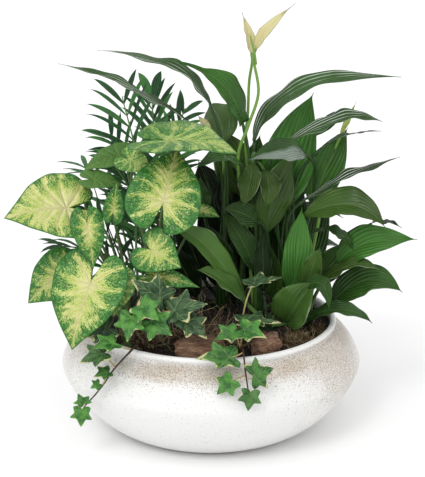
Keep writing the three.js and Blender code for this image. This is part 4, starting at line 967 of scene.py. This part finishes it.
arrow_shape = fan(ARROW_HALF, 30)
for name, foot, leaves in ARROWHEAD:
    form = Form()
    heads = [leaf[0] for leaf in leaves]
    starts = crown(form, foot, ARROWHEAD_CROWN_RADIUS, heads, ARROWHEAD_SPREAD, 12, STALK)
    for start, leaf in zip(starts, leaves):
        joint, ahead, normal, length = broad_blade(form, arrow_shape, ARROW_VEINS, leaf, 0.16, 0.3, 0.012)
        # A stalk comes up under its blade, or from the side where the blade lies flat
        _, _, face, _, tone = leaf
        rise = 0.3 if face[2] == 1 else 0.75
        end = joint - 0.1 * length * (ahead + 0.15 * normal)
        path = rising(start, end, unit(normal * rise + ahead * (1 - rise)), 24)
        path = np.concatenate([path[:-1], [end - 0.4 * normal, joint - 0.6 * normal]])
        radius = ARROWHEAD_STALK_RADIUS * np.linspace(1.2, 0.7, len(path))
        tube(form, path, radius, 8, normal, (0, tone, STALK))
    form.piece(name, arrow, name.replace("plant_", ""))


# Parlor palm: slim arching fronds with narrow leaflets in pairs along the rib and two
# broader ones at the end.
FOOT_DEPTH = 16
RIB_STEPS = 60
RIB_RADII = ([0, 0.3, 0.75, 1], [1.9, 1.5, 1.0, 0.55])
LAST_LEAFLETS = 0.978
CANES = 17
# Each frond: points of its rib, share of the rib at the first leaflets, pairs of leaflets,
# their length, the way they face, and how far they open
FRONDS = [
    ("frond_left", ((-56, 34), (-62, 36, 160), (-68, 38, 240), (-82, 32, 306)),
     0.62, 11, 62, (-0.1, -0.9, 0.5), 0.95),
    ("frond_tall", ((-40, 60), (-46, 65, 170), (-53, 67, 250), (-56, 65, 301)),
     0.7, 8, 52, (0.1, -1, 0.2), 0.6),
    ("frond_right", ((-28, 42), (-36, 46, 170), (-42, 47, 240), (-24, 46, 292)),
     0.66, 10, 40, (0, -0.8, 0.6), 0.9),
    ("frond_middle", ((-68, 14), (-70, 20, 150), (-74, 22, 215), (-92, 14, 250)),
     0.66, 8, 42, (0, -1, 0.4), 0.9),
    ("frond_low", ((-80, -2), (-88, -4, 135), (-112, -6, 168), (-140, -12, 176)),
     0.45, 10, 36, (0, -0.3, 1), 0.85),
    ("frond_back_left", ((-70, 46), (-80, 56, 150), (-98, 76, 205), (-124, 100, 222)),
     0.5, 10, 44, (-0.3, 0.2, 1), 0.95),
    ("frond_back", ((-50, 76), (-52, 86, 160), (-52, 102, 228), (-50, 128, 258)),
     0.5, 10, 44, (0, 0.4, 1), 0.95),
    ("frond_back_right", ((-24, 88), (-24, 96, 140), (-26, 118, 180), (-26, 144, 192)),
     0.5, 10, 38, (0.2, 0.4, 1), 0.95),
    ("frond_young_right", ((-46, 40), (-48, 44, 150), (-44, 46, 215), (-30, 42, 262)),
     0.62, 10, 46, (0, -0.8, 0.6), 1.1),
    ("frond_young_left", ((-60, 50), (-66, 52, 160), (-72, 54, 225), (-96, 50, 266)),
     0.6, 10, 48, (-0.1, -0.8, 0.6), 1.0),
    ("frond_young_low", ((-54, 28), (-58, 26, 140), (-66, 24, 180), (-82, 18, 204)),
     0.5, 8, 36, (0, -0.8, 0.6), 1.0),
    ("frond_young_inner", ((-34, 34), (-38, 36, 130), (-38, 34, 172), (-48, 30, 200)),
     0.5, 8, 36, (0, -0.8, 0.6), 1.0),
    ("frond_young_outer", ((-78, 22), (-86, 22, 140), (-100, 20, 182), (-116, 14, 204)),
     0.5, 8, 34, (0, -0.6, 0.8), 1.0),
]

palm = Finish("palm_leaf", Roughness=0.4, Specular_IOR_Level=0.3)
across, _, _, under, tone, pale = palm.read("leaf", "marks")
pleats = (across * 14).maths("SINE")
green = (tone + palm.noise(90, 3) * 0.5 - 0.25).ramp((0, (0.006, 0.026, 0.011)), (0.5, (0.024, 0.1, 0.03)),
                                                     (1, (0.09, 0.29, 0.065)))
green = palm.blend(pleats * 0.12 + 0.12, green, (0.1, 0.24, 0.09))
green = palm.blend(under, green, (0.09, 0.18, 0.1))
palm.paint(palm.blend(pale, green, (0.12, 0.24, 0.08)), pleats, depth=0.00015, strength=0.6)
for name, points, first, pairs, length, face, spread in FRONDS:
    end_width = 8.5 if name == "frond_tall" else 5
    form = Form()
    (x, y), bottom = points[0], soil_height(*points[0]) - FOOT_DEPTH
    rib = [(x, y, bottom), (x, y, bottom + 10), (x, y, bottom + 18), *points[1:]]
    share = np.linspace(0, 1, RIB_STEPS)
    tube(form, rounded(rib, share), np.interp(share, *RIB_RADII), 8, face, (0, 0.5, 1))
    last = pairs - 1
    for pair in range(pairs):
        share = pair / last
        at = first + (LAST_LEAFLETS - first) * share
        before, place, after = rounded(rib, np.array([at - 0.004, at, at + 0.004]))
        tangent = unit(after - before)
        normal, aside = (rows[0] for rows in blade_frame(tangent[None], face, 0.0))
        long = length * (0.72 + 0.5 * math.sin(math.pi * (0.15 + 0.7 * share))) * (1 - 0.25 * share)
        opening = spread * (1 - 0.45 * share)
        for hand in (1, -1):
            wide = end_width if pair == last else dice.uniform(3.0, 5.0)
            stray = dice.uniform(-0.19, 0.19, 3) * (pair < last)
            way = unit(tangent * math.cos(opening) + aside * hand * math.sin(opening) + stray)
            tilted = unit(normal - 0.25 * hand * aside + dice.uniform(-0.25, 0.25, 3))
            tip = place + way * long * dice.uniform(0.9, 1.0) - (0, 0, (0.22 - 0.1 * share) * long)
            lily_blade(form, place, place + way * long * 0.52, tip, wide, tilted, dice.uniform(0.1, 0.9),
                       fold=0.3, wave=0.15, rows=16, columns=5)
    form.piece(name, palm, None if "young" in name else "palm_" + name)

# Bare canes, whose leaves have dropped, stand between the fronds
cane_skin = Finish("palm_cane", Roughness=0.55, Specular_IOR_Level=0.3)
rings = abs((cane_skin.read("leaf")[1] * 22).maths("SINE")) ** 0.25
bare = cane_skin.blend(cane_skin.noise(150, 3), (0.018, 0.022, 0.008), (0.11, 0.1, 0.04))
cane_skin.paint(cane_skin.blend(rings, (0.14, 0.11, 0.06), bare), rings, depth=0.0004, strength=0.6)
canes = Form()
for order in range(CANES):
    x, y = -26 - 3.4 * order + dice.uniform(-3, 3), 20 + 30 * dice.random()
    top = (x - dice.uniform(2, 26) - 0.6 * order, y + dice.uniform(-8, 8), dice.uniform(168, 232))
    base = soil_height(x, y) - 4
    middle = ((x + top[0]) / 2 + 3, (y + top[1]) / 2, (base + top[2]) / 2)
    path = rounded([(x, y, base), (x - 1, y, base + 25), middle, top], np.linspace(0, 1, 26))
    tube(canes, path, np.linspace(dice.uniform(1.2, 1.9), 0.5, 26), 7)
canes.piece("palm_canes", cane_skin)


# Ivy: five-lobed leaves on thin stalks along a woody stem. Older leaves are grey-green
# with pale veins and a cream edge, and the new ones at the tips are fresh green.
IVY_STALK_RADIUS = 0.7
IVY_STEM_RADII = (1.25, 0.6)
# Last mark of a green stalk or stem and of a woody one
GREEN = 6.4
WOODY = 9
IVY_HALF = [(1, 0), (0.89, 0.07), (0.76, 0.15), (0.63, 0.22), (0.53, 0.27), (0.49, 0.36), (0.49, 0.52),
            (0.44, 0.69), (0.33, 0.62), (0.2, 0.52), (0.1, 0.475), (0, 0.5), (-0.12, 0.535),
            (-0.24, 0.54), (-0.29, 0.42), (-0.28, 0.26), (-0.21, 0.11), (-0.09, 0.02)]
IVY_VEINS = [
    [(0, 0), (1, 0)],
    [(0, 0), (0.2, 0.33), (0.45, 0.7)],
    [(0, 0), (-0.1, 0.25), (-0.28, 0.53)],
    [(0.3, 0), (0.45, 0.1), (0.55, 0.17)],
    [(0.5, 0), (0.62, 0.07), (0.74, 0.12)],
    [(0.1, 0.16), (0.12, 0.3), (0.14, 0.4)],
    [(0.17, 0.28), (0.32, 0.32), (0.45, 0.34)],
]
# Each leaf: where its stalk leaves the stem, stalk joint, tip, the way it faces, breadth, freshness
IVY = [
    ("ivy_trail_left", "ivy_left_trail", (-60, -76),
     [(-64, -84, 108), (-68, -101, 109), (-84, -110, 94), (-98, -108, 73), (-113, -98, 52)], [
        ((-70, -102, 108), (-86, -111, 117), (-104, -119, 115), (0, -0.3, 1), 1, 0.9),
        ((-84, -110, 94), (-95, -113, 108), (-115, -117, 101), (-0.1, -0.4, 0.9), 1, 0.4),
        ((-97, -109, 75), (-91, -114, 91), (-103, -118, 88), (0, -0.4, 0.9), 1, 0.6),
        ((-97, -109, 75), (-99, -114, 80), (-106, -117, 77), (-0.2, -0.9, 0.4), 1, 0.7),
        ((-112, -99, 54), (-113, -103, 58), (-118, -107, 68), (-0.2, -0.9, 0.3), 1, 0.9),
        ((-113, -98, 52), (-115, -101, 49), (-116, -105, 35), (-0.2, -1, 0.2), 1, 1.0),
     ]),
    ("ivy_shoot_left", "ivy_left_shoot", (-68, -76), [(-68, -82, 114), (-67, -92, 130), (-66, -97, 144)], [
        ((-67, -92, 130), (-70, -103, 138), (-73, -118, 121), (-0.1, -0.9, 0.4), 0.85, 0.9),
        ((-66, -96, 143), (-60, -103, 148), (-45, -114, 139), (0.1, -0.8, 0.6), 1, 0.95),
     ]),
    ("ivy_large_left", "ivy_left_large", (-50, -82), [(-50, -86, 112), (-47, -88, 126), (-44, -85, 138)], [
        ((-44, -85, 138), (-45, -88, 151), (-70, -88, 168), (0.1, -1, 0.2), 0.85, 0.15),
        ((-44, -85, 138), (-32, -95, 142), (-3, -103, 151), (0, -0.7, 0.7), 0.75, 0.1),
        ((-46, -88, 128), (-21, -98, 133), (-3, -108, 120), (0, -0.7, 0.8), 0.8, 0.2),
        ((-50, -86, 112), (-52, -100, 134), (-34, -110, 124), (0, -0.9, 0.4), 1, 0.85),
     ]),
    ("ivy_at_left_rim", "ivy_rim_left", (-90, -50), [(-91, -56, 108), (-92, -66, 117)], [
        ((-92, -66, 117), (-94, -76, 119), (-124, -82, 112), (0, -0.4, 1), 1, 0.1),
     ]),
    ("ivy_trail_right", "ivy_right_trail", (26, -92),
     [(26, -98, 108), (28, -116, 112), (30, -130, 98), (33, -136, 78)], [
        ((26, -98, 108), (29, -104, 127), (49, -111, 122), (0.2, -0.5, 0.9), 1, 0.9),
        ((26, -103, 110), (20, -109, 126), (3, -116, 122), (-0.2, -0.5, 0.9), 1, 0.7),
        ((28, -118, 111), (16, -124, 109), (-13, -131, 111), (-0.1, -0.6, 0.8), 0.7, 0.6),
        ((29, -127, 103), (38, -133, 96), (54, -142, 106), (0.2, -0.9, 0.4), 1, 0.6),
        ((30, -131, 95), (17, -136, 91), (5, -141, 81), (-0.2, -0.9, 0.4), 1, 0.9),
        ((32, -134, 84), (34, -142, 82), (32, -147, 68), (0, -1, 0.2), 1, 0.5),
     ]),
    ("ivy_shoot_right", "ivy_right_shoot", (28, -64), [(28, -66, 118), (31, -70, 140), (36, -74, 157)], [
        ((36, -74, 157), (38, -75, 160), (63, -69, 164), (0, 0.05, 1), 1, 0.05),
        ((28, -66, 118), (31, -79, 126), (63, -77, 124), (0, -0.1, 1), 0.7, 0.2),
     ]),
    ("ivy_trail_back", "ivy_back", (-26, 92),
     [(-26, 98, 108), (-28, 116, 112), (-30, 130, 98), (-33, 136, 78)], [
        ((-27, 108, 111), (-36, 110, 114), (-56, 106, 112), (-0.1, 0.2, 1), 0.75, 0.5),
        ((-28, 118, 111), (-16, 124, 106), (15, 131, 112), (0.1, 0.9, 0.5), 1, 0.6),
        ((-29, 127, 103), (-38, 133, 96), (-54, 142, 106), (-0.2, 0.9, 0.4), 1, 0.7),
        ((-32, 134, 84), (-33, 142, 84), (-31, 147, 68), (0, 1, 0.2), 1, 0.9),
     ]),
]

ivy = Finish("ivy_leaf", Roughness=0.38, Specular_IOR_Level=0.28)
_, run, edge, under, tone, near = ivy.read("leaf", "marks")
marbling = ivy.noise(130, 3)
old_green = ivy.blend(marbling.ramp((0.42, 0), (0.58, 1)), (0.018, 0.05, 0.018), (0.05, 0.1, 0.04))
new_green = ivy.blend(marbling.ramp((0.36, 0), (0.64, 1)), (0.018, 0.1, 0.016), (0.085, 0.27, 0.04))
skin = ivy.blend(tone.ramp((0.25, 0), (0.8, 1)), old_green, new_green)
main_vein = near.between(0.006, 0.024, 1, 0)
skin = ivy.blend(main_vein * 0.5, skin, (0.2, 0.34, 0.13))
ragged = edge + ivy.noise(120) * 0.9 - 0.5 - tone * 0.05
skin = ivy.blend(ragged.ramp((0.9, 0), (0.94, 1)) * 0.85, skin, (0.55, 0.52, 0.26))
skin = ivy.blend(under, skin, (0.14, 0.24, 0.1))
woody = ivy.blend(ivy.noise(200, 3), (0.016, 0.01, 0.007), (0.08, 0.04, 0.024))
stems = ivy.blend(near.between(7, 8), ivy.blend(run, (0.36, 0.24, 0.12), (0.42, 0.44, 0.16)), woody)
ivy.paint(ivy.blend(near.between(5, 6), skin, stems), marbling - main_vein * 0.7, depth=0.0003, strength=0.6)

ivy_shape = fan(IVY_HALF, 12)
for name, solid, foot, stem, leaves in IVY:
    form = Form()
    bottom = soil_height(*foot) - FOOT_DEPTH
    points = [(*foot, bottom), (*foot, bottom + FOOT_DEPTH + 1), *stem]
    share = np.linspace(0, 1, 10 * len(points))
    knots = 1 + 0.22 * np.maximum(0, np.sin(share * 26)) ** 4
    radius = np.linspace(*IVY_STEM_RADII, len(share)) * knots
    # The shoot at the right is still green
    tube(form, rounded(points, share), radius, 8, marks=(0, 0, GREEN if name == "ivy_shoot_right" else WOODY))
    for root, *leaf in leaves:
        joint, ahead, normal, length = broad_blade(form, ivy_shape, IVY_VEINS, leaf, 0.2, 0.16, 0.02)
        root = np.array(root)
        end = joint - 0.08 * length * (ahead + 0.08 * normal)
        middle = (root + end) / 2 - normal * 0.15 * np.linalg.norm(end - root)
        path = np.concatenate([bow(root, middle, end, np.linspace(0, 1, 12)), [joint - 0.4 * normal]])
        tube(form, path, IVY_STALK_RADIUS * np.linspace(1.05, 0.75, 13), 6, normal, (0, leaf[-1], GREEN))
    form.piece(name, ivy, solid)
